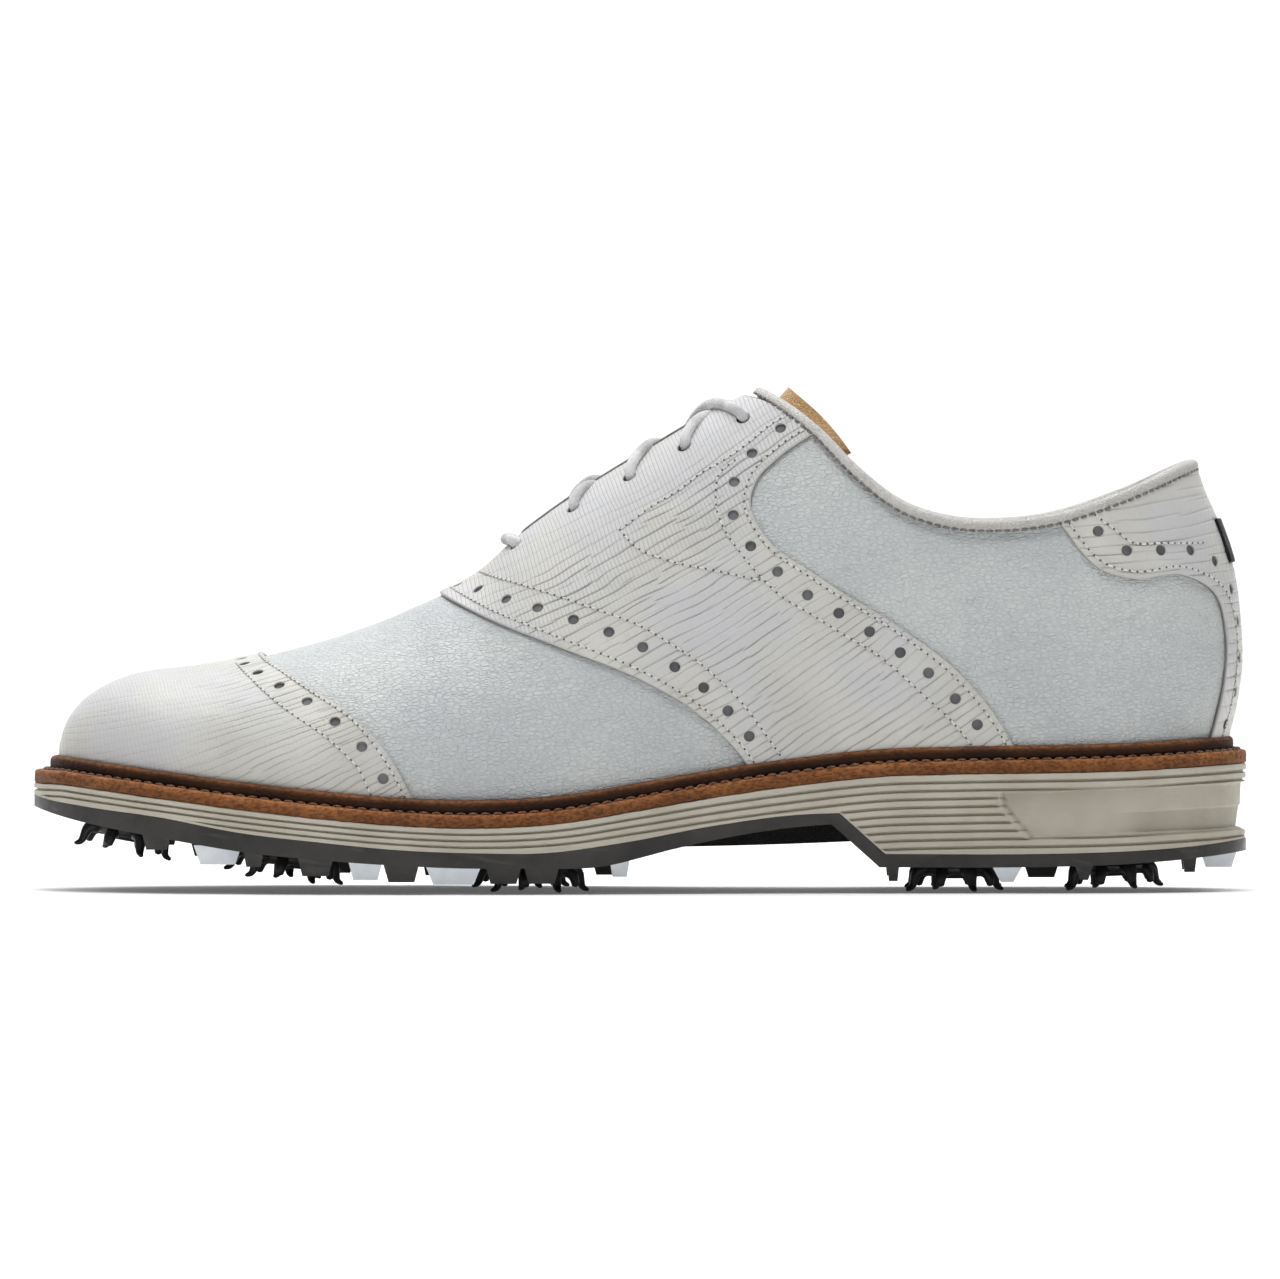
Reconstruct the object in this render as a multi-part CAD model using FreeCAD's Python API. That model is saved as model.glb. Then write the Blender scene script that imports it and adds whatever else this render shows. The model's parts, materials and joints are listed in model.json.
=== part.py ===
"""A left golf shoe: welted leather saddle shoe on a ribbed midsole and a cleated outsole.

Row frame, millimetres: X runs from the toe (-X) to the heel (+X), Y from the outer side of the foot (-Y)
to the inner side (+Y), Z up. The origin is on the floor under the middle of the sole.
"""

import FreeCAD
import Part
import math
import os

V = FreeCAD.Vector

# ---------------------------------------------------------------- driving dimensions

TOE_X = -145.0            # foremost point of the base leather
HEEL_X = 147.0            # rearmost point of the base leather at the welt
TOE_SWING = 5.0           # how far the toe turns towards the inner side

OVERLAY = 1.1             # thickness of the leather that lies over the base leather
BASE = 1.3                # thickness of the base leather
MIDDLE = 1.4              # toe puff, heel stiffener, collar foam and interlining
LINING = 0.9              # thickness of the lining leather
GLUE = 0.02               # gap left between two pieces that are glued or sewn together

STORM_WELT = 3.4          # height of the upper welt strip
LOWER_WELT = 3.4          # height of the lower welt strip
BOARD = 2.0               # insole board
SOCKLINER = 4.4           # foam footbed
LACE_RADIUS = 1.2
EYELET_RADIUS = 1.5
PUNCH_RADIUS = 1.35       # decorative perforations

# Heights over x in the side view.
FEATHER = [(-145, 33.6), (-120, 30.4), (-100, 27.8), (-80, 25.6), (-60, 23.9), (-40, 23.3), (-20, 24.4),
           (0, 27.6), (20, 31.0), (40, 33.8), (60, 35.9), (80, 36.5), (120, 37.2), (150, 38.7)]
RIDGE = [(-145, 33.5), (-142.9, 42.0), (-138.6, 47.2), (-127.3, 52.9), (-110, 55.5), (-90, 59.6),
         (-70, 65.4), (-50, 73.9), (-40, 79.0), (-30, 88.2), (-20, 95.8), (0, 108.6), (20, 120.4),
         (42, 131.0), (62, 142.0), (80, 156.0), (110, 168.0), (147, 172.0)]
TOPLINE = [(6, 133), (16, 129.6), (24, 127.2), (31, 125.4), (36, 122.9), (45, 116.3), (55, 106.2),
           (65, 98.3), (77, 93.9), (90, 93), (102, 94.2), (120, 99.9), (139, 108.2), (156, 114)]
OUTSOLE_TOP = [(-156, 25.2), (-150, 23.2), (-140, 21.5), (-120, 18.9), (-100, 15.2), (-80, 12.9), (-60, 11),
               (-40, 10.2), (-24, 10.2), (-5, 12.6), (20, 17.1), (40, 19.6), (50, 20.0)]
OUTSOLE_BOTTOM = [(-156, 22.4), (-150, 20.4), (-140, 17.5), (-120, 13.9), (-100, 10.5), (-80, 8.5), (-60, 7.1),
                  (-42, 6.4), (-26, 6.38), (-14, 6.36), (-8, 7.0), (0, 9.0), (20, 13.6), (40, 16.6), (48, 17.2)]
HEEL_TOP = [(61.5, 9.7), (100, 9.7), (120, 10.2), (140, 11.5), (156, 13.4)]
HEEL_BOTTOM = [(60, 6.4), (96, 6.4), (120, 7.0), (140, 8.5), (156, 10.4)]
BACK = [(14, 147.0), (38, 147.0), (45, 148.7), (52, 150.0), (60, 150.5), (68, 150.1), (76, 149.2),
        (84, 147.4), (92, 144.6), (100, 141.1), (106, 139.0), (120, 135.5), (142, 132.0)]

# Half widths of the leather at the welt, over x, and how far each sole layer stands out from it.
OUTER_SIDE = [(-145, 0), (-137, 21.5), (-120, 36.3), (-90, 46.0), (-55, 48.8), (-20, 45.5), (20, 38.5),
              (60, 34.0), (105, 32.5), (130, 26.5), (141, 17.0), (147, 0)]
INNER_SIDE = [(-145, 0), (-137, 20.5), (-120, 34.6), (-90, 44.2), (-60, 46.8), (-20, 39.5), (20, 31.5),
              (60, 31.0), (105, 32.0), (130, 26.5), (141, 17.0), (147, 0)]
SOLE_MARGIN = [(-145, 7.3), (-60, 6.2), (30, 5.0), (110, 5.2), (147, 5.5)]
WELT_MARGIN = [(-145, 3.2), (-60, 3.4), (30, 2.8), (147, 2.3)]

# Panel edges in the side view, from top to bottom.
CAP_EDGE = [(-98, 65), (-94.5, 59.4), (-88, 55), (-80, 50), (-70, 43.3), (-63, 35), (-57, 24.5), (-54, 18)]
SADDLE_FRONT = [(-56, 78.5), (-50.2, 74.8), (-40, 69.5), (-20, 61.5), (0, 53.5), (15, 44.5), (25, 34.5), (31, 25)]
SADDLE_REAR = [(56, 124), (45, 115.8), (35, 109), (29.3, 103), (27.8, 97.5), (31, 90), (45, 79), (65, 66.5),
               (80, 55), (90, 43), (98, 28)]
COUNTER_EDGE = [(98, 102), (105, 92.7), (116.5, 80.3), (124, 78.5), (136, 79.5), (144, 75.3), (147.4, 64),
                (147, 53), (144.3, 41), (140, 28)]
LAP = (7.0, 3.5)          # how far the base leather runs under the edge of a panel, along X and Z
PUFF_EDGE_X = -88.0
STIFFENER_EDGE = [(84, 28), (94, 45), (106, 66), (125, 76), (160, 78)]
FOAM_DEPTH = 22.0         # how far the collar foam reaches below the topline
BINDING = 2.4             # height of the collar binding

EYELETS = [(-30.5, 86.0), (-16.2, 95.3), (-2.2, 103.2), (11.5, 110.8), (26.2, 117.9)]
CAP_HOLES = [(-99.0, 56.0), (-95.5, 54.0), (-90.0, 51.0), (-83.0, 47.3), (-76.0, 42.5), (-69.3, 36.5),
             (-64.0, 28.8)]
SADDLE_FRONT_HOLES = [(-40.0, 75.0), (-33.0, 72.8), (-25.3, 70.8), (-16.5, 68.0), (-7.7, 65.0), (0.7, 61.3),
                      (8.7, 56.4), (15.9, 51.3), (22.0, 45.5), (27.3, 39.2)]
SADDLE_REAR_HOLES = [(35.5, 115.6), (28.3, 109.4), (23.8, 102.3), (23.5, 94.1), (27.8, 86.4), (34.5, 80.1),
                     (42.0, 74.3), (49.8, 69.8), (57.5, 65.2), (65.2, 60.0), (72.3, 54.9), (79.0, 48.5),
                     (84.5, 42.0)]
COUNTER_HOLES = [(114.7, 90.2), (121.8, 85.4), (130.2, 85.4), (137.5, 85.3), (143.6, 82.5)]
BACK_HOLES = [(147.7, 75.5), (149.3, 67.5), (149.7, 58.5), (148.7, 50.0), (146.2, 42.0)]

SLIT_FRONT_X = -36.0      # where the facings part
SLIT_HALF = 4.2

# Tongue: its depth under the base leather and its half width as an angle, over the rings of the last.
TONGUE_DEPTH = [(9.0, 6.6), (12.5, 6.6), (13.15, 5.0), (13.5, 1.8), (14.4, 1.0)]
TONGUE_TURN = [(9.0, 34), (10, 44), (11, 54), (12, 64), (13, 70), (14.4, 70)]
TONGUE_LEVELS = (9.3, 14.3)
TONGUE_LEATHER = 1.1
TONGUE_FOAM = 2.2
TONGUE_RIM = [(33, 132), (36.8, 127.0), (43.8, 120.8), (51, 112.8), (57, 103), (62, 88)]
TONGUE_RIM_INNER = [(28, 130), (34.0, 123.2), (39.0, 119.6), (44.0, 115.6), (49.0, 110.6), (55, 100), (60, 86)]

LACE_TOP = 2.9            # corner points of the lace stand this far over the base leather
LACE_UNDER = 5.4          # and this far under it
TAIL_DEPTH = 5.7          # the tucked ends lie this far under it, inside the lining
AGLET_LENGTH = 9.0

GROOVE_STEP = 2.05        # ribs moulded round the midsole
GROOVE_DEPTH = 0.7
GROOVE_WIDTH = 0.7
HEEL_PANEL = [(91.0, 24.7), (91.8, 21.8), (94.0, 18.0), (97.2, 14.2)]

# Cleats: x, y, tilt in degrees about Y. The four that carry the shoe stand upright on the floor.
CLEATS = [(-129, 5, 10.5), (-86, -25, 5.5), (-92, 23, 6.2), (-25, -27, 0), (-30, 22, 0),
          (79, -18, 0), (79, 18, 0), (119, -15, -2.2), (119, 15, -2.2)]
CLEAT_DROP = 6.4          # from the outsole down to the tips of the legs
CLEAT_GAP = 0.3
STEM_RADIUS = 5.6
STEM_PLAY = 0.06
TAB_RADIUS = 7.0
CUP_RADIUS = 8.6
CUP_HEIGHT = 5.0
LIP = 1.5
TABS = 3
TAB_WIDTH = 3.0

# Traction lugs: x, y, length, width and how far they stand under the outsole.
DARK_LUGS = [(-121, -31, 7, 5, 3.4), (-96.5, -43, 5, 6, 3.4), (-81, -45, 9, 6, 4.2), (-59.5, -46, 9, 6, 4.2),
             (-34, -46, 9, 6, 3.9), (-24.5, -45, 9, 5, 3.9), (-120, 30, 7, 5, 3.4), (-82, 42, 9, 6, 4.2),
             (-52, 43, 6, 6, 4.2), (-34, 41.5, 6, 5, 3.9), (-109, 4, 8, 8, 3.6), (-76, 0, 9, 8, 4.0),
             (-44, -1, 10, 8, 4.2), (-8, 4, 8, 9, 3.4), (63.5, -30, 3, 6, 3.6), (63.5, 29, 3, 6, 3.6),
             (101, 0, 9, 9, 3.4), (111.3, -31, 5, 4.5, 3.6, 0.4), (111.3, 31, 5, 4.5, 3.6, 0.4),
             (138, -14, 3.6, 7, 3.6), (138, 14, 3.6, 7, 3.6)]
CLEAR_LUGS = [(-105.5, -38, 12, 6, 4.2), (-68.5, -46, 8.5, 6, 4.2), (-46.5, -47, 14, 6.5, 4.2),
              (-109, 37, 9, 5, 4.2), (-61, 44, 9, 6, 4.2), (-43, 42.5, 11, 6, 4.2), (-5, -38, 5, 6, 3.6),
              (-5, 30, 5, 6, 3.6), (92, -31.5, 8, 4.5, 3.8, 0.4), (92, 31.5, 8, 4.5, 3.8, 0.4), (145.5, 0, 9, 16, 3.4)]


# ---------------------------------------------------------------- curves and the last

class Curve:
    """A smooth curve through a few points, read as a function. With ends it meets both ends square on."""

    def __init__(self, points, ends=None):
        self.ends = ends
        self.t = [self.place(x) for x, _ in points]
        self.v = [float(v) for _, v in points]
        last = len(points) - 1
        slopes = [(self.v[i + 1] - self.v[i]) / (self.t[i + 1] - self.t[i]) for i in range(last)]
        self.m = [slopes[0]]
        for i in range(1, last):
            before, after = self.t[i] - self.t[i - 1], self.t[i + 1] - self.t[i]
            self.m.append((slopes[i - 1] * after + slopes[i] * before) / (before + after))
        self.m.append(slopes[-1])

    def place(self, x):
        if self.ends is None:
            return float(x)
        share = (x - self.ends[0]) / (self.ends[1] - self.ends[0])
        return math.acos(1 - 2 * min(1.0, max(0.0, share)))

    def __call__(self, x):
        t = min(self.t[-1], max(self.t[0], self.place(x)))
        i = 0
        while i < len(self.t) - 2 and t > self.t[i + 1]:
            i += 1
        h = self.t[i + 1] - self.t[i]
        u = (t - self.t[i]) / h
        return (self.v[i] * (1 + 2 * u) * (1 - u) ** 2 + self.v[i + 1] * u * u * (3 - 2 * u)
                + h * (self.m[i] * u * (1 - u) ** 2 - self.m[i + 1] * u * u * (1 - u)))


def smooth_step(x, low, high):
    u = min(1.0, max(0.0, (x - low) / (high - low)))
    return u * u * (3 - 2 * u)


feather = Curve(FEATHER)
ridge = Curve(RIDGE, (TOE_X, HEEL_X))
back = Curve(BACK)
outer_side = Curve(OUTER_SIDE, (TOE_X, HEEL_X))
inner_side = Curve(INNER_SIDE, (TOE_X, HEEL_X))
sole_margin = Curve(SOLE_MARGIN)
welt_margin = Curve(WELT_MARGIN)
dome_power = Curve([(-145, 2.4), (-90, 2.3), (-50, 2.0), (-20, 1.8), (50, 1.7), (90, 1.7), (147, 1.8)])
dome_root = Curve([(-145, 2.1), (-90, 2.1), (-50, 2.1), (-20, 2.2), (50, 2.3), (90, 2.0), (147, 1.8)])


def centre_y(x):
    """The middle of the shoe, which swings towards the inner side at the toe."""
    return TOE_SWING * (min(0.0, x) / TOE_X) ** 2


def half_width(x, z, side):
    """How far the base leather stands from the middle, at a point of the side view. side is -1 or 1."""
    shifted = x - (back(z) - HEEL_X) * smooth_step(x, 60.0, HEEL_X)
    plan = (outer_side if side < 0 else inner_side)(shifted)
    t = (z - feather(x)) / max(1e-6, ridge(x) - feather(x))
    t = min(1.0, max(0.0, t))
    bulge = 1 + 0.05 * math.sin(math.pi * t) * (1 - t)
    return plan * bulge * (1 - t ** dome_power(x)) ** (1 / dome_root(x))


# Each ring of the last lies in a plane that holds the Y direction, from a point of the ridge to one of the back.
CAP_Z = 14.0
RING_FRONT_X = [-145, -145, -144.4, -142.9, -138.6, -127.3, -110, -90, -70, -50, -32, -12, 8, 28, 44, 54, 62]
RING_BACK_Z = [CAP_Z, 38, 43.5, 49, 54.5, 60, 66, 72, 78, 84, 90, 96, 101, 107, 117, 129, 142]
TOP_LEVEL = len(RING_FRONT_X) - 1
front_x_of = Curve(list(enumerate(RING_FRONT_X)))
back_z_of = Curve(list(enumerate(RING_BACK_Z)))


def on_base(level, turn):
    """A point of the base leather's outer face: turn 0 is the front of the ring, pi its back, below 0 the outer side."""
    x0, z1 = front_x_of(level), back_z_of(level)
    z0 = ridge(x0) if level >= 1 else CAP_Z + (ridge(TOE_X) - CAP_Z) * level
    share = (1 - math.cos(turn)) / 2
    x, z = x0 + (back(z1) - x0) * share, z0 + (z1 - z0) * share
    side = -1 if math.sin(turn) < 0 else 1
    return V(x, centre_y(x) + side * half_width(x, z, side), z)


def on_last(level, turn, distance):
    """A point that stands a distance off the base leather's outer face."""
    step = 0.03
    low, high = max(0.0, level - step), min(float(TOP_LEVEL), level + step)
    along = on_base(high, turn) - on_base(low, turn)
    around = on_base(level, turn + step) - on_base(level, turn - step)
    normal = along.cross(around)
    if level <= 0 or level >= TOP_LEVEL:
        normal.z = 0
    normal.normalize()
    return on_base(level, turn) + normal * distance


def tube_solid(poles):
    """A closed solid round columns of poles, with a flat cap at either end."""
    columns, rows = len(poles), len(poles[0])
    surface = Part.BSplineSurface()
    surface.buildFromPolesMultsKnots(poles, [1] * (columns + 1), [4] + [1] * (rows - 4) + [4],
                                     list(range(columns + 1)), list(range(rows - 2)), True, False, 3, 3)
    wall = surface.toShape()
    caps = [Part.Face(Part.Wire([edge])) for edge in wall.Edges if edge.isClosed() and not edge.isSeam(wall.Faces[0])]
    shell = Part.Shell([wall] + caps)
    shell.sewShape()
    solid = Part.Solid(shell)
    solid.fix(1e-6, 1e-6, 1e-6)
    return solid


def last(distance, rows=33, columns=40):
    """The whole last as a solid, grown by distance: the space inside one face of a leather."""
    poles = []
    for k in range(columns):
        turn = 2 * math.pi * k / columns
        poles.append([on_last(TOP_LEVEL * r / (rows - 1), turn, distance) for r in range(rows)])
    return tube_solid(poles)


def surface_point(x, z, side, distance=0.0):
    """The point at (x, z) of the side view on one side of the shoe, and the outward normal there."""
    step = 0.4

    def at(px, pz):
        return V(px, centre_y(px) + side * half_width(px, pz, side), pz)

    normal = (at(x + step, z) - at(x - step, z)).cross(at(x, z + step) - at(x, z - step))
    normal.normalize()
    if normal.y * side < 0:
        normal = -normal
    return at(x, z) + normal * distance, normal


# ---------------------------------------------------------------- cutting tools

DEEP = 90.0               # half the length of a side-view tool along Y


def spline_edge(points):
    curve = Part.BSplineCurve()
    curve.interpolate([V(x, 0, z) for x, z in points])
    return curve.toShape()


def side_prism(edges_of_points, straight=()):
    """A prism along Y over a region of the side view: splines through the first point lists, then straight runs."""
    edges = [spline_edge(points) for points in edges_of_points]
    loose = [edges_of_points[-1][-1], *straight, edges_of_points[0][0]]
    for one, two in zip(edges_of_points, edges_of_points[1:]):
        edges.append(Part.makeLine(V(one[-1][0], 0, one[-1][1]), V(two[0][0], 0, two[0][1])))
    for one, two in zip(loose, loose[1:]):
        edges.append(Part.makeLine(V(one[0], 0, one[1]), V(two[0], 0, two[1])))
    wire = Part.Wire(Part.__sortEdges__(edges))
    return Part.Face(wire).extrude(V(0, 2 * DEEP, 0)).translated(V(0, -DEEP, 0))


def moved(points, dx=0.0, dz=0.0):
    return [(x + dx, z + dz) for x, z in points]


def front_of(edge, dx=0.0, dz=0.0):
    """Everything towards the toe from a panel edge that runs from top to bottom."""
    return side_prism([moved(edge, dx, dz)], [(-200, -20), (-200, 220)])


def below(curve, dz=0.0):
    """Everything under a curve that runs towards the heel, and everything towards the toe from its start."""
    curve = moved(curve, 0, dz)
    return side_prism([curve], [(220, curve[-1][1]), (220, -20), (-220, -20), (-220, curve[0][1])])


def sole_points(curve, dz=0.0, low=-158.0, high=160.0):
    f = Curve(curve)
    return [(x, f(x) + dz) for x in [low + (high - low) * k / 14 for k in range(15)]]


def plan_points(margin, z0=0.0, count=56):
    """The upper's outline at the welt, grown by margin(x)."""
    points = []
    for k in range(count):
        turn = 2 * math.pi * k / count
        corner = []
        for t in (turn - 0.02, turn, turn + 0.02):
            x = TOE_X + (HEEL_X - TOE_X) * (1 - math.cos(t)) / 2
            side = -1 if math.sin(t) < 0 else 1
            plan = (outer_side if side < 0 else inner_side)(x)
            corner.append(V(x, centre_y(x) + side * plan, z0))
        along = corner[2] - corner[0]
        out = V(-along.y, along.x, 0).normalize()
        points.append(corner[1] + out * margin(corner[1].x))
    return points


def plan_outline(margin, z0=-5.0, z1=60.0):
    """The same outline drawn out along Z."""
    curve = Part.BSplineCurve()
    curve.interpolate(plan_points(margin, z0), PeriodicFlag=True)
    return Part.Face(Part.Wire([curve.toShape()])).extrude(V(0, 0, z1 - z0))


def rod(centre, direction, radius, before, after):
    return Part.makeCylinder(radius, before + after, centre - direction * before, direction)


def punches(places, sides=(-1, 1), radius=PUNCH_RADIUS, inside=1.0):
    """Round punches through the overlay leather, square to its face."""
    tools = []
    for side in sides:
        for x, z in places:
            point, normal = surface_point(x, z, side)
            tools.append(rod(point, normal, radius, inside, 4.0))
    return tools


def write(name, shape):
    """One STEP file per piece, which holds nothing but its solids."""
    solids = [s for s in shape.Solids if s.Volume > 0.5]
    if not solids:
        raise ValueError(f"{name} came out empty")
    whole = solids[0] if len(solids) == 1 else Part.makeCompound(solids)
    if not whole.isValid():
        print(f"warning: {name} is not valid")
    whole.exportStep(f"parts/{name}.step")
    print(f"{name:24s} {len(solids):3d} solids  {whole.Volume:10.1f} mm3", flush=True)


# ---------------------------------------------------------------- the upper

def slit_tool():
    """The gap between the two facings, seen from above, with a round front end."""
    end = Part.makeCylinder(SLIT_HALF, 130, V(SLIT_FRONT_X + SLIT_HALF, 0, 50))
    run = Part.makeBox(120, 2 * SLIT_HALF, 130, V(SLIT_FRONT_X + SLIT_HALF, -SLIT_HALF, 50))
    return end.fuse(run)


def half_space(side, gap=GLUE):
    """Everything on one side of the middle plane, which follows the toe's swing."""
    base = [V(x, centre_y(x) + side * gap, 0) for x in (-200, -120, -80, -40, 0, 60, 200)]
    curve = Part.BSplineCurve()
    curve.interpolate(base)
    far = [V(200, side * 120, 0), V(-200, side * 120, 0)]
    edges = [curve.toShape(), Part.makeLine(base[-1], far[0]), Part.makeLine(far[0], far[1]),
             Part.makeLine(far[1], base[0])]
    return Part.Face(Part.Wire(edges)).extrude(V(0, 0, 200))


def build_upper():
    skins = {d: last(d) for d in (OVERLAY + 0.25, OVERLAY, GLUE, 0.0, -BASE, -BASE - GLUE, -BASE - MIDDLE,
                                  -BASE - MIDDLE - GLUE, -BASE - MIDDLE - LINING)}
    bottom = below(sole_points(FEATHER, -STORM_WELT + 0.05))
    under_binding = below(TOPLINE, -BINDING)
    under_topline = below(TOPLINE)
    slit = slit_tool()
    outer, inner = half_space(-1), half_space(1)
    cap_front = front_of(CAP_EDGE)
    saddle_front, saddle_rear = front_of(SADDLE_FRONT), front_of(SADDLE_REAR)
    vamp_front = front_of(SADDLE_FRONT, *LAP)
    quarter_front = front_of(SADDLE_REAR, -LAP[0], -LAP[1])
    counter_front = front_of(COUNTER_EDGE)

    def shell(outside, inside):
        return skins[outside].cut(skins[inside]).common(under_binding).cut(bottom)

    eyelet_holes = punches(EYELETS, radius=EYELET_RADIUS, inside=6.0)

    over = shell(OVERLAY, GLUE)
    write("toe_cap", over.common(cap_front).cut(punches(CAP_HOLES)))
    saddle = over.common(saddle_rear).cut(saddle_front).cut(slit)
    saddle = saddle.cut(eyelet_holes + punches(SADDLE_FRONT_HOLES + SADDLE_REAR_HOLES))
    write("saddle_outer", saddle.common(outer))
    write("saddle_inner", saddle.common(inner))
    write("heel_overlay", over.cut(counter_front).cut(punches(COUNTER_HOLES + BACK_HOLES)))

    base = shell(0.0, -BASE)
    write("vamp", base.common(vamp_front))
    middle = base.common(quarter_front).cut(vamp_front).cut(slit).cut(eyelet_holes)
    write("facing_backing_outer", middle.common(outer))
    write("facing_backing_inner", middle.common(inner))
    quarters = base.cut(quarter_front).cut(slit)
    write("quarter_outer", quarters.common(outer))
    write("quarter_inner", quarters.common(inner))

    filler = shell(-BASE - GLUE, -BASE - MIDDLE)
    puff_zone = Part.makeBox(120, 200, 200, V(PUFF_EDGE_X - 120, -100, 0))
    stiffener_zone = below(STIFFENER_EDGE).cut(front_of([(84, 80), (84, 20)]))
    above_foam = below(TOPLINE, -BINDING - FOAM_DEPTH)
    collar_zone = Part.makeBox(200, 200, 200, V(52, -100, 0))
    write("toe_puff", filler.common(puff_zone))
    heel_part = filler.common(stiffener_zone)
    write("heel_stiffener", heel_part)
    write("collar_foam", filler.common(collar_zone).cut(above_foam).cut(stiffener_zone))
    rest = filler.cut(puff_zone).cut(stiffener_zone).cut(collar_zone.cut(above_foam)).cut(slit)
    write("interlining", rest.cut(eyelet_holes))

    inside = shell(-BASE - MIDDLE - GLUE, -BASE - MIDDLE - LINING)
    lining_split = front_of(SADDLE_FRONT, 2.2 * LAP[0], 2.2 * LAP[1])
    write("vamp_lining", inside.common(lining_split).cut(slit).cut(eyelet_holes))
    write("quarter_lining", inside.cut(lining_split).cut(slit).cut(eyelet_holes))

    band = skins[OVERLAY + 0.25].cut(skins[-BASE - MIDDLE - LINING]).common(under_topline)
    write("collar_binding", band.cut(below(TOPLINE, -BINDING + GLUE)).cut(slit))

    patch_zone = Part.makeBox(30, 15, 11.4, V(130, -7.5, 82.2))
    write("heel_patch", last(OVERLAY + 0.8).cut(last(OVERLAY + GLUE)).common(patch_zone))
    return skins


# ---------------------------------------------------------------- tongue and lace

tongue_depth = Curve(TONGUE_DEPTH)
tongue_turn = Curve(TONGUE_TURN)


def tongue_sheet(top, bottom, rows=20, half=8):
    """A sheet of the tongue between two depths under its own outer face."""
    sections = []
    for r in range(rows):
        level = TONGUE_LEVELS[0] + (TONGUE_LEVELS[1] - TONGUE_LEVELS[0]) * r / (rows - 1)
        wide = math.radians(tongue_turn(level))
        turns = [wide * (k - half) / half for k in range(2 * half + 1)]
        outside = [on_last(level, t, -tongue_depth(level) - top) for t in turns]
        inside = [on_last(level, t, -tongue_depth(level) - bottom) for t in reversed(turns)]
        sections.append(outside + inside)
    for ends in (sections[0], sections[-1]):
        middle = ends[0] + (ends[2 * half] - ends[0]) * 0.5
        across = (ends[half] - middle).cross(V(0, 1, 0)).normalize()
        ends[:] = [p - across * (p - middle).dot(across) for p in ends]
    return tube_solid([list(column) for column in zip(*sections)])


def build_tongue():
    rim, inner_rim = front_of(TONGUE_RIM), front_of(TONGUE_RIM_INNER)
    foam, lining = TONGUE_LEATHER + TONGUE_FOAM, TONGUE_LEATHER + TONGUE_FOAM + LINING
    write("tongue_leather", tongue_sheet(0.0, TONGUE_LEATHER).common(inner_rim))
    write("tongue_foam", tongue_sheet(TONGUE_LEATHER + GLUE, foam).common(inner_rim))
    write("tongue_lining", tongue_sheet(foam + GLUE, lining).common(inner_rim))
    edge = tongue_sheet(0.0, lining).common(rim)
    write("tongue_binding", edge.cut(front_of(TONGUE_RIM_INNER, GLUE)))


def crest_point(x, y, distance):
    """A point over or under the base leather near the crest of the instep."""
    side = -1 if y < centre_y(x) else 1
    low, high = feather(x), ridge(x)
    for _ in range(40):
        z = (low + high) / 2
        if half_width(x, z, side) > abs(y - centre_y(x)):
            low = z
        else:
            high = z
    point, normal = surface_point(x, min(z, ridge(x) - 0.3), side)
    if abs(y - centre_y(x)) < 2.0:
        slope = V(1, 0, (ridge(x + 0.5) - ridge(x - 0.5)))
        normal = slope.cross(V(0, 1, 0)).normalize() * -1
        if normal.z < 0:
            normal = -normal
        point = V(x, y, ridge(x))
    return point + normal * distance


def lace_pass(number, side, top_first, middle, top_last):
    """Corner points of one crossing, from an eyelet on one side to an eyelet on the other."""
    first = EYELETS[number]
    second = EYELETS[number + 1] if number + 1 < len(EYELETS) else EYELETS[number]
    one, _ = surface_point(*first, side)
    two, _ = surface_point(*second, -side)
    start, end = (LACE_TOP if top_first else -LACE_UNDER), (LACE_TOP if top_last else -LACE_UNDER)
    edge = SLIT_HALF + 1.4
    corners = []
    for y, depth in ((side * edge, start), (0.0, middle), (-side * edge, end)):
        share = (y - one.y) / (two.y - one.y)
        x = one.x + (two.x - one.x) * share
        near = 2.35 if depth == LACE_TOP else (-5.0 if depth == -LACE_UNDER else depth)
        corners.append(crest_point(x, y + centre_y(x), near))
    return corners


def through_eyelet(number, side, upwards):
    """Corner points of the lace on its way through one eyelet."""
    x, z = EYELETS[number]
    depths = (-LACE_UNDER, -1.2, LACE_TOP) if upwards else (LACE_TOP, -1.2, -LACE_UNDER)
    return [surface_point(x, z, side, depth)[0] for depth in depths]


def lace_half(side, over):
    """One half of the lace from the middle of the bottom bar to its tucked end. over tells which half crosses on top."""
    x, z = EYELETS[0]
    bar = crest_point(x - 1.5, centre_y(x), 2.35)
    edge = crest_point(x - 1.3, side * (SLIT_HALF + 1.4) + centre_y(x), 2.35)
    poles = [bar, (bar + edge) * 0.5, edge] + through_eyelet(0, side, False)
    poles += lace_pass(0, side, False, -5.2 if over else -0.4, False)
    poles += through_eyelet(1, -side, True)
    poles += lace_pass(1, -side, True, 1.3 if over else -3.8, False)
    poles += through_eyelet(2, side, True)
    poles += lace_pass(2, side, True, 1.3 if over else -3.8, False)
    poles += through_eyelet(3, -side, True)
    poles += lace_pass(3, -side, True, 3.0 if over else -1.6, True)
    poles += through_eyelet(4, side, False)
    x, z = EYELETS[4]
    for dx, dz in ((-2.0, -6.0), (-3.5, -11.0), (-5.0, -16.0), (-6.5, -21.0)):
        poles.append(surface_point(x + dx, z + dz, side, -TAIL_DEPTH)[0])
    return poles


def smooth_path(poles, spacing):
    """Points about a spacing apart along a smooth curve that is drawn towards the poles."""
    curve = Part.BSplineCurve()
    count = len(poles)
    curve.buildFromPolesMultsKnots(poles, [4] + [1] * (count - 4) + [4], list(range(count - 2)), False, 3)
    return curve.discretize(int(curve.length() / spacing) + 2)


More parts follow.
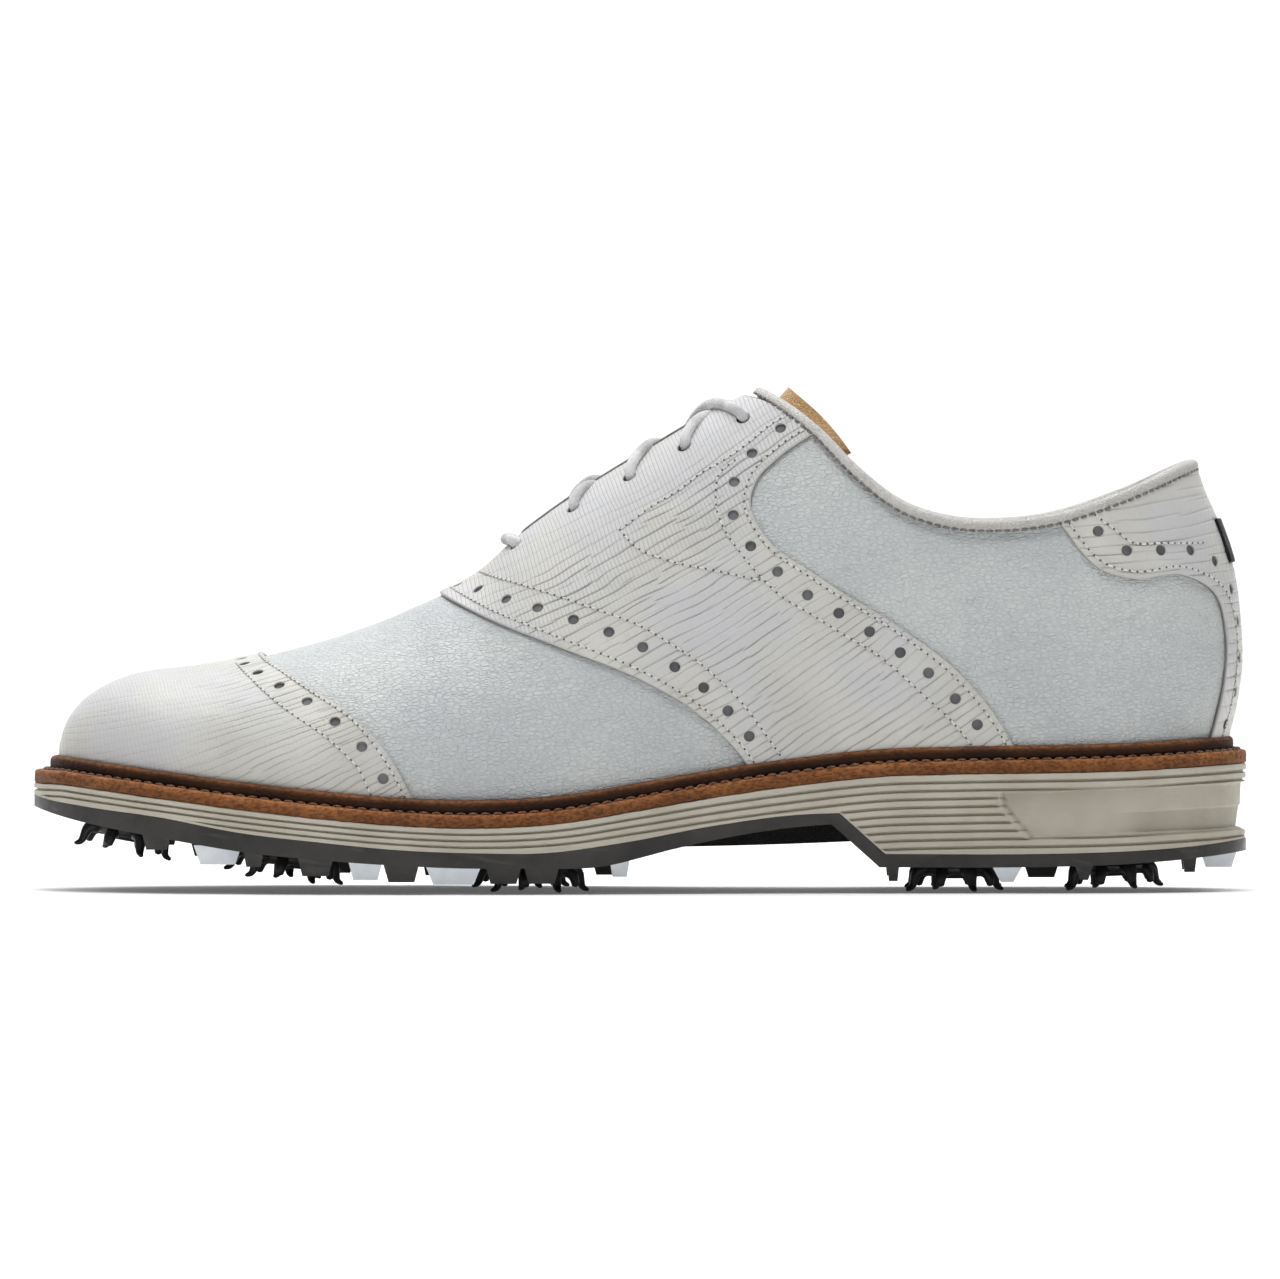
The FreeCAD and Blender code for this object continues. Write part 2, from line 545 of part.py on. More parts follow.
def tube(path, radius, columns=10):
    """A round strand along a path."""
    reach = radius * 3 / (2 + math.cos(2 * math.pi / columns))
    last_point = len(path) - 1
    across, rings = V(0.02, 0.01, 1), []
    for i, point in enumerate(path):
        along = (path[min(i + 1, last_point)] - path[max(i - 1, 0)]).normalize()
        across = (across - along * across.dot(along)).normalize()
        up = along.cross(across)
        turns = [2 * math.pi * k / columns for k in range(columns)]
        rings.append([point + across * (reach * math.cos(t)) + up * (reach * math.sin(t)) for t in turns])
    return tube_solid([list(column) for column in zip(*rings)])


def build_lace():
    halves, aglets = [], []
    for side, over in ((-1, True), (1, False)):
        path = smooth_path(lace_half(side, over), 1.4)
        halves.append(tube(path, LACE_RADIUS))
        end, before = path[-1], path[-2]
        along = (end - before).normalize()
        aglets.append(Part.makeCylinder(LACE_RADIUS + 0.15, AGLET_LENGTH, end + along * GLUE, along))
    write("lace", Part.makeCompound(halves))
    write("aglets", Part.makeCompound(aglets))


# ---------------------------------------------------------------- inside the shoe and the sole

def build_inside(skins):
    cavity = skins[-BASE - MIDDLE - LINING]
    floor = -STORM_WELT + 0.05
    board_top = below(sole_points(FEATHER, floor + BOARD))
    board = cavity.common(board_top).cut(below(sole_points(FEATHER, floor)))
    write("insole_board", board)
    foot_top = below(sole_points(FEATHER, floor + BOARD + SOCKLINER))
    footbed = last(-BASE - MIDDLE - LINING - 0.4).common(foot_top)
    write("sockliner", footbed.cut(below(sole_points(FEATHER, floor + BOARD + GLUE))))


def band_between(high, low):
    """A prism along Y between two curves that run from the toe to the heel."""
    return side_prism([high, list(reversed(low))])


def midsole_relief(sole_plan):
    """The grooves round the midsole and the shallow panel on its heel, as one tool."""
    skin = sole_plan.cut(plan_outline(lambda x: sole_margin(x) - GROOVE_DEPTH))
    top = -STORM_WELT - LOWER_WELT
    panel = side_prism([HEEL_PANEL], [(170, 15.6), (170, 28.4)])
    tools = [panel]
    for k in range(1, 9):
        drop = top - GROOVE_STEP * k
        heel = [V(52, 0, feather(52) + drop), V(160, 0, feather(150) + drop)]
        heel += [point - V(0, 0, GROOVE_WIDTH) for point in reversed(heel)]
        bar = Part.Face(Part.makePolygon(heel + heel[:1])).extrude(V(0, 2 * DEEP, 0)).translated(V(0, -DEEP, 0))
        tools.append(bar.cut(panel))
    for k in range(1, 3):
        high = sole_points(FEATHER, top - GROOVE_STEP * k, high=51)
        low = sole_points(FEATHER, top - GROOVE_STEP * k - GROOVE_WIDTH, high=51)
        tools.append(band_between(high, low))
    return skin.common(Part.makeCompound(tools))


def sole_profile(curve, heel):
    """The outsole's curve with its step at the front of the heel, as splines and one straight run."""
    return [sole_points(curve, low=-156, high=curve[-1][0]), sole_points(heel, low=heel[0][0], high=156)]


def build_sole(skins):
    low = sole_points(FEATHER, -STORM_WELT - LOWER_WELT)
    mid = sole_points(FEATHER, -STORM_WELT)
    storm = plan_outline(welt_margin).common(band_between(sole_points(FEATHER), mid))
    grown = last(OVERLAY + 0.05)
    under_cap = grown.common(front_of(CAP_EDGE, 0.1))
    under_saddle = grown.common(front_of(SADDLE_REAR, 0.1)).cut(front_of(SADDLE_FRONT, -0.1))
    under_counter = grown.cut(front_of(COUNTER_EDGE, -0.1))
    write("storm_welt", storm.cut([skins[GLUE], under_cap, under_saddle, under_counter]))
    thread = plan_points(lambda x: welt_margin(x) + 1.3, count=180)
    thread = thread[91:] + thread[:90]
    for point in thread:
        point.z = feather(point.x) - STORM_WELT + 0.5
    write("welt_thread", tube(thread, 0.45, columns=6))
    sole_plan = plan_outline(sole_margin)
    core = plan_outline(lambda x: -9.0)
    strip = sole_plan.common(band_between(sole_points(FEATHER, -STORM_WELT - 0.03), low))
    write("lower_welt", strip.cut(core))
    filler = plan_outline(lambda x: -9.1).common(band_between(sole_points(FEATHER, -STORM_WELT - 0.03), low))
    shank_box = Part.makeBox(105, 15, 40, V(-12, -6, 0))
    shank_band = band_between(sole_points(FEATHER, -STORM_WELT - 0.05), sole_points(FEATHER, -STORM_WELT - 1.75))
    shank = shank_box.common(shank_band)
    write("shank", shank)
    write("cork_filler", filler.cut(Part.makeBox(105.4, 15.4, 40, V(-12.2, -6.2, 0)).common(shank_band)))

    cups, pockets, cleats = [], [], []
    for place in CLEATS:
        cups.append(seat(cup(), place))
        pockets.append(seat(Part.makeCylinder(CUP_RADIUS + GLUE, CUP_HEIGHT + 5, V(0, 0, -5)), place))
        cleats.append(seat(cleat(), place))
    tops, bottoms = sole_profile(OUTSOLE_TOP, HEEL_TOP), sole_profile(OUTSOLE_BOTTOM, HEEL_BOTTOM)
    under_top = side_prism(tops, [(156, -20), (-156, -20)])
    under_bottom = side_prism(bottoms, [(156, -20), (-156, -20)])
    midsole = sole_plan.common(below(sole_points(FEATHER, -STORM_WELT - LOWER_WELT - GLUE))).cut(under_top)
    midsole = midsole.cut(midsole_relief(sole_plan))
    caps = [seat(Part.makeCylinder(CUP_RADIUS + GLUE, CUP_HEIGHT + GLUE + 5, V(0, 0, -5)), p) for p in CLEATS]
    write("midsole", midsole.cut(caps))
    outsole = sole_plan.common(under_top.translated(V(0, 0, -GLUE))).cut(under_bottom)
    clear = [lug(*row) for row in CLEAR_LUGS]
    outsole = outsole.cut(pockets).fuse([lug(*row) for row in DARK_LUGS])
    write("outsole", outsole.cut(clear))
    write("clear_lugs", Part.makeCompound(clear))
    write("arch_bridge", arch_bridge(under_bottom))
    write("cleat_receptacles", Part.makeCompound(cups))
    for number, solid in enumerate(cleats, 1):
        write(f"cleat_{number}", solid)


def bottom_z(x):
    return Curve(HEEL_BOTTOM)(x) if x > 58 else Curve(OUTSOLE_BOTTOM)(x)


def seat(solid, place):
    """Puts a piece that was made under the origin onto its place on the outsole, no lower than a cleat's height."""
    x, y, tilt = place
    solid = solid.copy()
    solid.rotate(V(0, 0, 0), V(0, 1, 0), tilt)
    solid.translate(V(x, y, max(bottom_z(x), CLEAT_DROP)))
    return solid


def wedge_bars(count, half, inner, outer, z0, z1, start=0.0):
    bars = []
    for k in range(count):
        bar = Part.makeBox(outer - inner, 2 * half, z1 - z0, V(inner, -half, z0))
        bar.rotate(V(0, 0, 0), V(0, 0, 1), start + 360.0 * k / count)
        bars.append(bar)
    return bars


def cup():
    """The receptacle in the outsole: a lip with three notches, and a groove behind it that the tabs turn in."""
    body = Part.makeCylinder(CUP_RADIUS, CUP_HEIGHT)
    mouth = Part.makeCylinder(STEM_RADIUS + STEM_PLAY, CUP_HEIGHT - 1.0)
    groove = Part.makeCylinder(TAB_RADIUS + 0.3, CUP_HEIGHT - 1.0 - LIP, V(0, 0, LIP))
    notches = wedge_bars(TABS, TAB_WIDTH / 2 + 0.3, 0, TAB_RADIUS + 0.3, -1, CUP_HEIGHT - 1.0, start=60)
    return body.cut([mouth, groove] + notches)


def leg(profile, half):
    """One leg of a cleat: a bent profile in the plane of the axis, drawn out sideways."""
    wire = Part.makePolygon([V(r, -half, z) for r, z in profile + profile[:1]])
    return Part.Face(wire).extrude(V(0, 2 * half, 0))


def cleat():
    """A soft cleat: hub, stem with three tabs, four long legs and four short ones between them."""
    top = -CLEAT_GAP
    hub = Part.makeCylinder(8.4, 1.9, V(0, 0, top - 1.9))
    boss = Part.makeCone(3.4, 4.4, 0.9, V(0, 0, top - 2.8))
    stem = Part.makeCylinder(STEM_RADIUS, CUP_HEIGHT - 1.4 - top, V(0, 0, top))
    tabs = wedge_bars(TABS, TAB_WIDTH / 2, 0, TAB_RADIUS, LIP + 0.15, CUP_HEIGHT - 1.4)
    ring = Part.makeCylinder(TAB_RADIUS, CUP_HEIGHT)
    tabs = [bar.common(ring) for bar in tabs]
    tip = -CLEAT_DROP
    long_leg = [(6.0, top - 0.2), (9.4, top - 0.2), (12.0, -2.4), (13.4, -4.6), (13.9, tip), (12.0, tip),
                (11.0, -4.6), (8.8, -2.9), (6.0, top - 1.8)]
    short_leg = [(5.0, top - 0.3), (8.8, top - 0.3), (10.6, -2.4), (11.0, -5.2), (9.4, -5.2), (8.2, -3.2),
                 (5.0, top - 1.8)]
    legs = []
    for k in range(8):
        one = leg(long_leg, 1.5) if k % 2 == 0 else leg(short_leg, 1.3)
        one.rotate(V(0, 0, 0), V(0, 0, 1), 45.0 * k + 22.5)
        legs.append(one)
    body = hub.fuse([boss, stem] + tabs + legs).removeSplitter()
    wrench = [Part.makeCylinder(0.9, 1.2, V(5.4 * s, 0, top - 1.9)) for s in (-1, 1)]
    return body.cut(wrench)


def lug(x, y, length, width, drop, taper=0.72, turn=0.0):
    """A moulded traction lug: a tapered block that stands under the outsole."""
    top, tip = bottom_z(x) + 0.6, bottom_z(x) - drop
    wires = []
    for z, share in ((top, 1.0), (tip, taper)):
        dx, dy = length / 2 * share, width / 2 * share
        wires.append(Part.makePolygon([V(-dx, -dy, z), V(dx, -dy, z), V(dx, dy, z), V(-dx, dy, z), V(-dx, -dy, z)]))
    block = Part.makeLoft(wires, True, True)
    block.rotate(V(0, 0, 0), V(0, 0, 1), turn)
    block.translate(V(x, y, 0))
    return block


def arch_bridge(under_bottom):
    """The stiff black bridge under the arch, which stands out of the outsole's hollow."""
    bridge = side_prism([[(10, 11.2), (24, 11.5), (40, 12.0), (54, 12.6)]], [(54, 40), (10, 40)])
    return bridge.common(under_bottom.translated(V(0, 0, -0.02))).common(
        Part.makeBox(60, 42, 60, V(5, -23, 0)))


# ---------------------------------------------------------------- run

if __name__ == "__main__":
    os.makedirs("parts", exist_ok=True)
    layers = build_upper()
    build_tongue()
    build_lace()
    build_inside(layers)
    build_sole(layers)
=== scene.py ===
"""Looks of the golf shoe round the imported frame.

Shapes are worked out in millimetres, in the part's own axes: X from toe to heel, Z up, the origin on the floor.
Outlines in the side view are (x, z) pairs.
"""
import json
import math

import bpy
import numpy as np
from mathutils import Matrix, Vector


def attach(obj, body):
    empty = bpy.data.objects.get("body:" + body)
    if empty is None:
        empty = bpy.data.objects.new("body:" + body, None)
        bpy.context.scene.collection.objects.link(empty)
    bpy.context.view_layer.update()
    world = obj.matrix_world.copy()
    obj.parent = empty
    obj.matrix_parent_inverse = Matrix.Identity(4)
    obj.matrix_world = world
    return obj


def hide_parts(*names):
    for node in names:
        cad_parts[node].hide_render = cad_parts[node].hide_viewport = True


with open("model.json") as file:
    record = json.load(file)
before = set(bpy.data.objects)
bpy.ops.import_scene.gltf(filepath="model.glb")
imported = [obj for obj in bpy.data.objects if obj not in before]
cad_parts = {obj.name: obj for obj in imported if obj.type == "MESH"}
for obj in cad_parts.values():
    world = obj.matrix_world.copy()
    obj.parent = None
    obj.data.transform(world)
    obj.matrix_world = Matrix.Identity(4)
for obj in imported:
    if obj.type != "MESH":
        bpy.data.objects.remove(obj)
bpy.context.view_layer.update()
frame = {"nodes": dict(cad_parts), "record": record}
MM = 0.001

# ---------------------------------------------------------------- the last, as in the CAD source

TOE_X, HEEL_X = -145.0, 147.0
TOE_SWING = 5.0
WAIST_X, SIDE_BULGE = 60.0, 0.05
OVERLAY, BASE = 1.1, 1.3
STORM_WELT = LOWER_WELT = 3.4
BINDING = 2.4
SLIT_FRONT_X, SLIT_HALF = -36.0, 4.2

FEATHER = [(-145, 33.6), (-120, 30.4), (-100, 27.8), (-80, 25.6), (-60, 23.9), (-40, 23.3), (-20, 24.4),
           (0, 27.6), (20, 31.0), (40, 33.8), (60, 35.9), (80, 36.5), (120, 37.2), (150, 38.7)]
RIDGE = [(-145, 33.5), (-142.9, 42.0), (-138.6, 47.2), (-127.3, 52.9), (-110, 55.5), (-90, 59.6),
         (-70, 65.4), (-50, 73.9), (-40, 79.0), (-30, 88.2), (-20, 95.8), (0, 108.6), (20, 120.4),
         (42, 131.0), (62, 142.0), (80, 156.0), (110, 168.0), (147, 172.0)]
BACK = [(14, 147.0), (38, 147.0), (45, 148.7), (52, 150.0), (60, 150.5), (68, 150.1), (76, 149.2),
        (84, 147.4), (92, 144.6), (100, 141.1), (106, 139.0), (120, 135.5), (142, 132.0)]
OUTER_SIDE = [(-145, 0), (-137, 21.5), (-120, 36.3), (-90, 46.0), (-55, 48.8), (-20, 45.5), (20, 38.5),
              (60, 34.0), (105, 32.5), (130, 26.5), (141, 17.0), (147, 0)]
INNER_SIDE = [(-145, 0), (-137, 20.5), (-120, 34.6), (-90, 44.2), (-60, 46.8), (-20, 39.5), (20, 31.5),
              (60, 31.0), (105, 32.0), (130, 26.5), (141, 17.0), (147, 0)]
TOPLINE = [(6, 133), (16, 129.6), (24, 127.2), (31, 125.4), (36, 122.9), (45, 116.3), (55, 106.2),
           (65, 98.3), (77, 93.9), (90, 93), (102, 94.2), (120, 99.9), (139, 108.2), (156, 114)]
OUTSOLE_TOP = [(-156, 25.2), (-150, 23.2), (-140, 21.5), (-120, 18.9), (-100, 15.2), (-80, 12.9), (-60, 11),
               (-40, 10.2), (-24, 10.2), (-5, 12.6), (20, 17.1), (40, 19.6), (50, 20.0)]
OUTSOLE_BOTTOM = [(-156, 22.4), (-150, 20.4), (-140, 17.5), (-120, 13.9), (-100, 10.5), (-80, 8.5),
                  (-60, 7.1), (-42, 6.4), (-26, 6.38), (-14, 6.36), (-8, 7.0), (0, 9.0), (20, 13.6),
                  (40, 16.6), (48, 17.2)]
HEEL_TOP = [(61.5, 9.7), (100, 9.7), (120, 10.2), (140, 11.5), (156, 13.4)]
HEEL_BOTTOM = [(60, 6.4), (96, 6.4), (120, 7.0), (140, 8.5), (156, 10.4)]
SOLE_MARGIN = [(-145, 7.3), (-60, 6.2), (30, 5.0), (110, 5.2), (147, 5.5)]
WELT_MARGIN = [(-145, 3.2), (-60, 3.4), (30, 2.8), (147, 2.3)]

CAP_EDGE = [(-98, 65), (-94.5, 59.4), (-88, 55), (-80, 50), (-70, 43.3), (-63, 35), (-57, 24.5), (-54, 18)]
SADDLE_FRONT = [(-56, 78.5), (-50.2, 74.8), (-40, 69.5), (-20, 61.5), (0, 53.5), (15, 44.5), (25, 34.5),
                (31, 25)]
SADDLE_REAR = [(56, 124), (45, 115.8), (35, 109), (29.3, 103), (27.8, 97.5), (31, 90), (45, 79), (65, 66.5),
               (80, 55), (90, 43), (98, 28)]
COUNTER_EDGE = [(98, 102), (105, 92.7), (116.5, 80.3), (124, 78.5), (136, 79.5), (144, 75.3), (147.4, 64),
                (147, 53), (144.3, 41), (140, 28)]
LAP = (7.0, 3.5)
EYELETS = [(-30.5, 86.0), (-16.2, 95.3), (-2.2, 103.2), (11.5, 110.8), (26.2, 117.9)]
CAP_HOLES = [(-99.0, 56.0), (-95.5, 54.0), (-90.0, 51.0), (-83.0, 47.3), (-76.0, 42.5), (-69.3, 36.5),
             (-64.0, 28.8)]
SADDLE_FRONT_HOLES = [(-40.0, 75.0), (-33.0, 72.8), (-25.3, 70.8), (-16.5, 68.0), (-7.7, 65.0), (0.7, 61.3),
                      (8.7, 56.4), (15.9, 51.3), (22.0, 45.5), (27.3, 39.2)]
SADDLE_REAR_HOLES = [(35.5, 115.6), (28.3, 109.4), (23.8, 102.3), (23.5, 94.1), (27.8, 86.4), (34.5, 80.1),
                     (42.0, 74.3), (49.8, 69.8), (57.5, 65.2), (65.2, 60.0), (72.3, 54.9), (79.0, 48.5),
                     (84.5, 42.0)]
COUNTER_HOLES = [(114.7, 90.2), (121.8, 85.4), (130.2, 85.4), (137.5, 85.3), (143.6, 82.5)]
BACK_HOLES = [(147.7, 75.5), (149.3, 67.5), (149.7, 58.5), (148.7, 50.0), (146.2, 42.0)]


class Curve:
    """A smooth curve through a few points, read as a function of arrays."""

    def __init__(self, points, ends=None):
        self.ends = ends
        self.t = self.place(np.array([p[0] for p in points], float))
        self.v = np.array([p[1] for p in points], float)
        slopes = np.diff(self.v) / np.diff(self.t)
        before, after = np.diff(self.t)[:-1], np.diff(self.t)[1:]
        inner = (slopes[:-1] * after + slopes[1:] * before) / (before + after)
        self.m = np.concatenate([slopes[:1], inner, slopes[-1:]])

    def place(self, x):
        if self.ends is None:
            return np.asarray(x, float)
        share = (x - self.ends[0]) / (self.ends[1] - self.ends[0])
        return np.arccos(1 - 2 * np.clip(share, 0, 1))

    def __call__(self, x):
        t = np.clip(self.place(np.asarray(x, float)), self.t[0], self.t[-1])
        i = np.clip(np.searchsorted(self.t, t) - 1, 0, len(self.t) - 2)
        h = self.t[i + 1] - self.t[i]
        u = (t - self.t[i]) / h
        return (self.v[i] * (1 + 2 * u) * (1 - u) ** 2 + self.v[i + 1] * u * u * (3 - 2 * u)
                + h * (self.m[i] * u * (1 - u) ** 2 - self.m[i + 1] * u * u * (1 - u)))


def smooth_step(x, low, high):
    u = np.clip((np.asarray(x, float) - low) / (high - low), 0, 1)
    return u * u * (3 - 2 * u)


feather, back, topline = Curve(FEATHER), Curve(BACK), Curve(TOPLINE)
ridge = Curve(RIDGE, (TOE_X, HEEL_X))
outer_side, inner_side = Curve(OUTER_SIDE, (TOE_X, HEEL_X)), Curve(INNER_SIDE, (TOE_X, HEEL_X))
sole_margin, welt_margin = Curve(SOLE_MARGIN), Curve(WELT_MARGIN)
dome_power = Curve([(-145, 2.4), (-90, 2.3), (-50, 2.0), (-20, 1.8), (50, 1.7), (90, 1.7), (147, 1.8)])
dome_root = Curve([(-145, 2.1), (-90, 2.1), (-50, 2.1), (-20, 2.2), (50, 2.3), (90, 2.0), (147, 1.8)])
outsole_top, outsole_bottom = Curve(OUTSOLE_TOP), Curve(OUTSOLE_BOTTOM)
heel_top, heel_bottom = Curve(HEEL_TOP), Curve(HEEL_BOTTOM)

# The last is a stack of slanting rings, the levels: where each starts on the ridge, and its height behind.
CAP_Z = 14.0
RING_FRONT_X = [-145, -145, -144.4, -142.9, -138.6, -127.3, -110, -90, -70, -50, -32, -12, 8, 28, 44, 54, 62]
RING_BACK_Z = [CAP_Z, 38, 43.5, 49, 54.5, 60, 66, 72, 78, 84, 90, 96, 101, 107, 117, 129, 142]
TOP_LEVEL = len(RING_FRONT_X) - 1
front_x_of, back_z_of = Curve(list(enumerate(RING_FRONT_X))), Curve(list(enumerate(RING_BACK_Z)))


def centre_y(x):
    return TOE_SWING * (np.minimum(0.0, x) / TOE_X) ** 2


def half_width(x, z, side):
    """Width of one side at a height. From waist to heel the plan slides with the line of the back."""
    shifted = x - (back(z) - HEEL_X) * smooth_step(x, WAIST_X, HEEL_X)
    plan = np.where(side < 0, outer_side(shifted), inner_side(shifted))
    t = np.clip((z - feather(x)) / np.maximum(1e-6, ridge(x) - feather(x)), 0, 1)
    bulge = 1 + SIDE_BULGE * np.sin(math.pi * t) * (1 - t)
    return plan * bulge * (1 - t ** dome_power(x)) ** (1 / dome_root(x))


def on_base(level, turn):
    """Points of the base leather. turn goes from 0 in front to pi at the heel, under 0 on the outer side."""
    level, turn = np.broadcast_arrays(np.asarray(level, float), np.asarray(turn, float))
    x0, z1 = front_x_of(level), back_z_of(level)
    z0 = np.where(level >= 1, ridge(x0), CAP_Z + (ridge(TOE_X) - CAP_Z) * level)
    share = (1 - np.cos(turn)) / 2
    x, z = x0 + (back(z1) - x0) * share, z0 + (z1 - z0) * share
    side = np.where(np.sin(turn) < 0, -1.0, 1.0)
    return np.stack([x, centre_y(x) + side * half_width(x, z, side), z], -1)


def surface(level, turn, distance):
    """Points a distance off the base leather, and the outward normals."""
    level, turn = np.broadcast_arrays(np.asarray(level, float), np.asarray(turn, float))
    step = 0.03
    along = on_base(np.minimum(TOP_LEVEL, level + step), turn) - on_base(np.maximum(0, level - step), turn)
    around = on_base(level, turn + step) - on_base(level, turn - step)
    normal = np.cross(along, around)
    normal /= np.maximum(1e-9, np.linalg.norm(normal, axis=-1, keepdims=True))
    return on_base(level, turn) + normal * np.asarray(distance)[..., None], normal


# ---------------------------------------------------------------- noise and lines in the side view

NOISE_CELLS = 256


def run_along(points):
    """Length run at each point of a line."""
    return np.concatenate([[0], np.cumsum(np.linalg.norm(np.diff(points, axis=0), axis=1))])


def resampled(t, run, points):
    """Points at new places along a line."""
    return np.stack([np.interp(t, run, points[:, k]) for k in range(points.shape[1])], -1)


def noise(u, v, seed):
    """Smooth noise from -1 to 1 with features about one unit across. It repeats after NOISE_CELLS units."""
    n = NOISE_CELLS
    grid = np.random.default_rng(seed).random((n, n))
    i, j = np.floor(u).astype(int), np.floor(v).astype(int)
    a, b = u - i, v - j
    a, b = a * a * (3 - 2 * a), b * b * (3 - 2 * b)
    g00, g10 = grid[i % n, j % n], grid[(i + 1) % n, j % n]
    g01, g11 = grid[i % n, (j + 1) % n], grid[(i + 1) % n, (j + 1) % n]
    return 2 * ((g00 * (1 - a) + g10 * a) * (1 - b) + (g01 * (1 - a) + g11 * a) * b) - 1


def smooth_line(points, spacing=1.0):
    """A dense line through a few points."""
    points = np.asarray(points, float)
    run = run_along(points)
    t = np.linspace(0, run[-1], max(3, int(run[-1] / spacing) + 1))
    return np.stack([Curve(list(zip(run, points[:, k])))(t) for k in range(points.shape[1])], -1)


def beside(line, p):
    """Distance of side-view points from a line that runs top to bottom: above 0 towards the toe."""
    best, sign = np.full(len(p), 1e9), np.ones(len(p))
    for a, b in zip(line[:-1], line[1:]):
        d = b - a
        v = p - a
        u = np.clip((v @ d) / (d @ d), 0, 1)
        gap = np.hypot(*(v - u[:, None] * d).T)
        near = gap < best
        best = np.where(near, gap, best)
        sign = np.where(near, -np.sign(d[0] * v[:, 1] - d[1] * v[:, 0]), sign)
    return best * sign


# Fields are above 0 where leather stays. They take an array of (x, y, z) and give distances in millimetres.

def front_of(points):
    line = smooth_line(points, 1.5)
    return lambda p: beside(line, p[:, [0, 2]])


def rear_of(points):
    field = front_of(points)
    return lambda p: -field(p)


def above_feather(drop):
    return lambda p: p[:, 2] - (feather(p[:, 0]) - drop)


def under_topline(drop):
    def field(p):
        slope = (topline(p[:, 0] + 0.5) - topline(p[:, 0] - 0.5))
        return (topline(p[:, 0]) - drop - p[:, 2]) / np.sqrt(1 + slope ** 2)
    return field


def outside_slit(p):
    dx = np.minimum(0.0, p[:, 0] - (SLIT_FRONT_X + SLIT_HALF))
    return np.hypot(dx, p[:, 1]) - SLIT_HALF


def one_side(side, gap):
    return lambda p: side * (p[:, 1] - centre_y(p[:, 0])) - gap


# ---------------------------------------------------------------- mesh tools

def make_object(name, points, faces, material, body="shoe", sharp=40, attributes=None):
    mesh = bpy.data.meshes.new(name)
    mesh.from_pydata((np.asarray(points) * MM).tolist(), [], [list(map(int, f)) for f in faces])
    mesh.materials.append(material)
    mesh.polygons.foreach_set("use_smooth", np.ones(len(mesh.polygons), bool))
    mesh.validate()
    for key, values in (attributes or {}).items():
        layer = mesh.attributes.new(key, "FLOAT", "POINT")
        layer.data.foreach_set("value", np.asarray(values, np.float32))
    mesh.update()
    mesh.set_sharp_from_angle(angle=math.radians(sharp))
    obj = bpy.data.objects.new(name, mesh)
    bpy.context.scene.collection.objects.link(obj)
    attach(obj, body)
    return obj


def even(low, high, points_at, spacing, fine=500):
    """Values from low to high whose surface points are at most about a spacing apart."""
    t = np.linspace(low, high, fine)
    p = points_at(t)
    gap = np.linalg.norm(np.diff(p, axis=0), axis=-1).max(axis=1)
    run = np.concatenate([[0], np.cumsum(gap)])
    return np.interp(np.linspace(0, run[-1], int(run[-1] / spacing) + 2), run, t)


def ring_faces(rings, around, closed=False):
    """Quads between rings of vertices that follow one another."""
    i, k = np.meshgrid(np.arange(rings if closed else rings - 1), np.arange(around), indexing="ij")
    j, after = (i + 1) % rings, (k + 1) % around
    corners = [i * around + k, i * around + after, j * around + after, j * around + k]
    return np.stack(corners, -1).reshape(-1, 4).tolist()


def tube_faces(rings, around):
    """Quads between rings of vertices, and a face over each end."""
    ends = [list(range(around - 1, -1, -1)), list(range((rings - 1) * around, rings * around))]
    return ring_faces(rings, around) + ends


def grid_faces(rows, columns):
    a = (np.arange(rows - 1)[:, None] * columns + np.arange(columns - 1)[None, :]).ravel()
    b, c, d = a + 1, a + columns + 1, a + columns
    return np.concatenate([np.stack([a, c, b], 1), np.stack([a, d, c], 1)])


def clip(places, faces, field):
    """Cuts triangles where a field falls under 0. places are (level, turn)."""
    inside = field >= 0
    hits = inside[faces].sum(1)
    kept = [faces[hits == 3]]
    extra, index = [], {}
    made = len(places)

    def cut(i, j):
        nonlocal made
        key = (i, j) if i < j else (j, i)
        if key not in index:
            t = field[i] / (field[i] - field[j])
            extra.append(places[i] + (places[j] - places[i]) * t)
            index[key] = made
            made += 1
        return index[key]

    new = []
    for tri in faces[(hits == 1) | (hits == 2)]:
        tri = tri.tolist()
        flags = inside[tri].tolist()
        alone_inside = sum(flags) == 1
        k = flags.index(alone_inside)
        a, b, c = tri[k:] + tri[:k]
        ab, ac = cut(a, b), cut(a, c)
        new += [[a, ab, ac]] if alone_inside else [[ab, b, c], [ab, c, ac]]
    if new:
        kept.append(np.array(new))
    faces = np.concatenate(kept)
    if extra:
        places = np.concatenate([places, np.array(extra)])
    used, inverse = np.unique(faces, return_inverse=True)
    return places[used], inverse.reshape(-1, 3)


def rims(faces):
    """Closed loops of vertices round the edge of a mesh, with the mesh on the left."""
    directed = np.concatenate([faces[:, [0, 1]], faces[:, [1, 2]], faces[:, [2, 0]]])
    known = set(map(tuple, directed.tolist()))
    nexts = {}
    for a, b in known:
        if (b, a) not in known:
            nexts.setdefault(a, []).append(b)
    loops = []
    while nexts:
        start = next(iter(nexts))
        loop = [start]
        here = nexts[start].pop()
        if not nexts[start]:
            del nexts[start]
        while here != start and here in nexts:
            loop.append(here)
            following = nexts[here].pop()
            if not nexts[here]:
                del nexts[here]
            here = following
        if len(loop) > 5:
            loops.append(loop)
    return loops


HOLE_LIP = 0.25
LONGEST_HOLE_RIM = 16


def rounded(radius, thickness):
    """An edge that rounds over at the top and falls straight down: (outwards, down) pairs."""
    turns = [math.pi / 2 * k / 3 for k in (1, 2, 3)]
    profile = [(radius * math.sin(a), radius * (1 - math.cos(a))) for a in turns]
    return profile + [(radius, thickness * 0.7), (radius, thickness)]


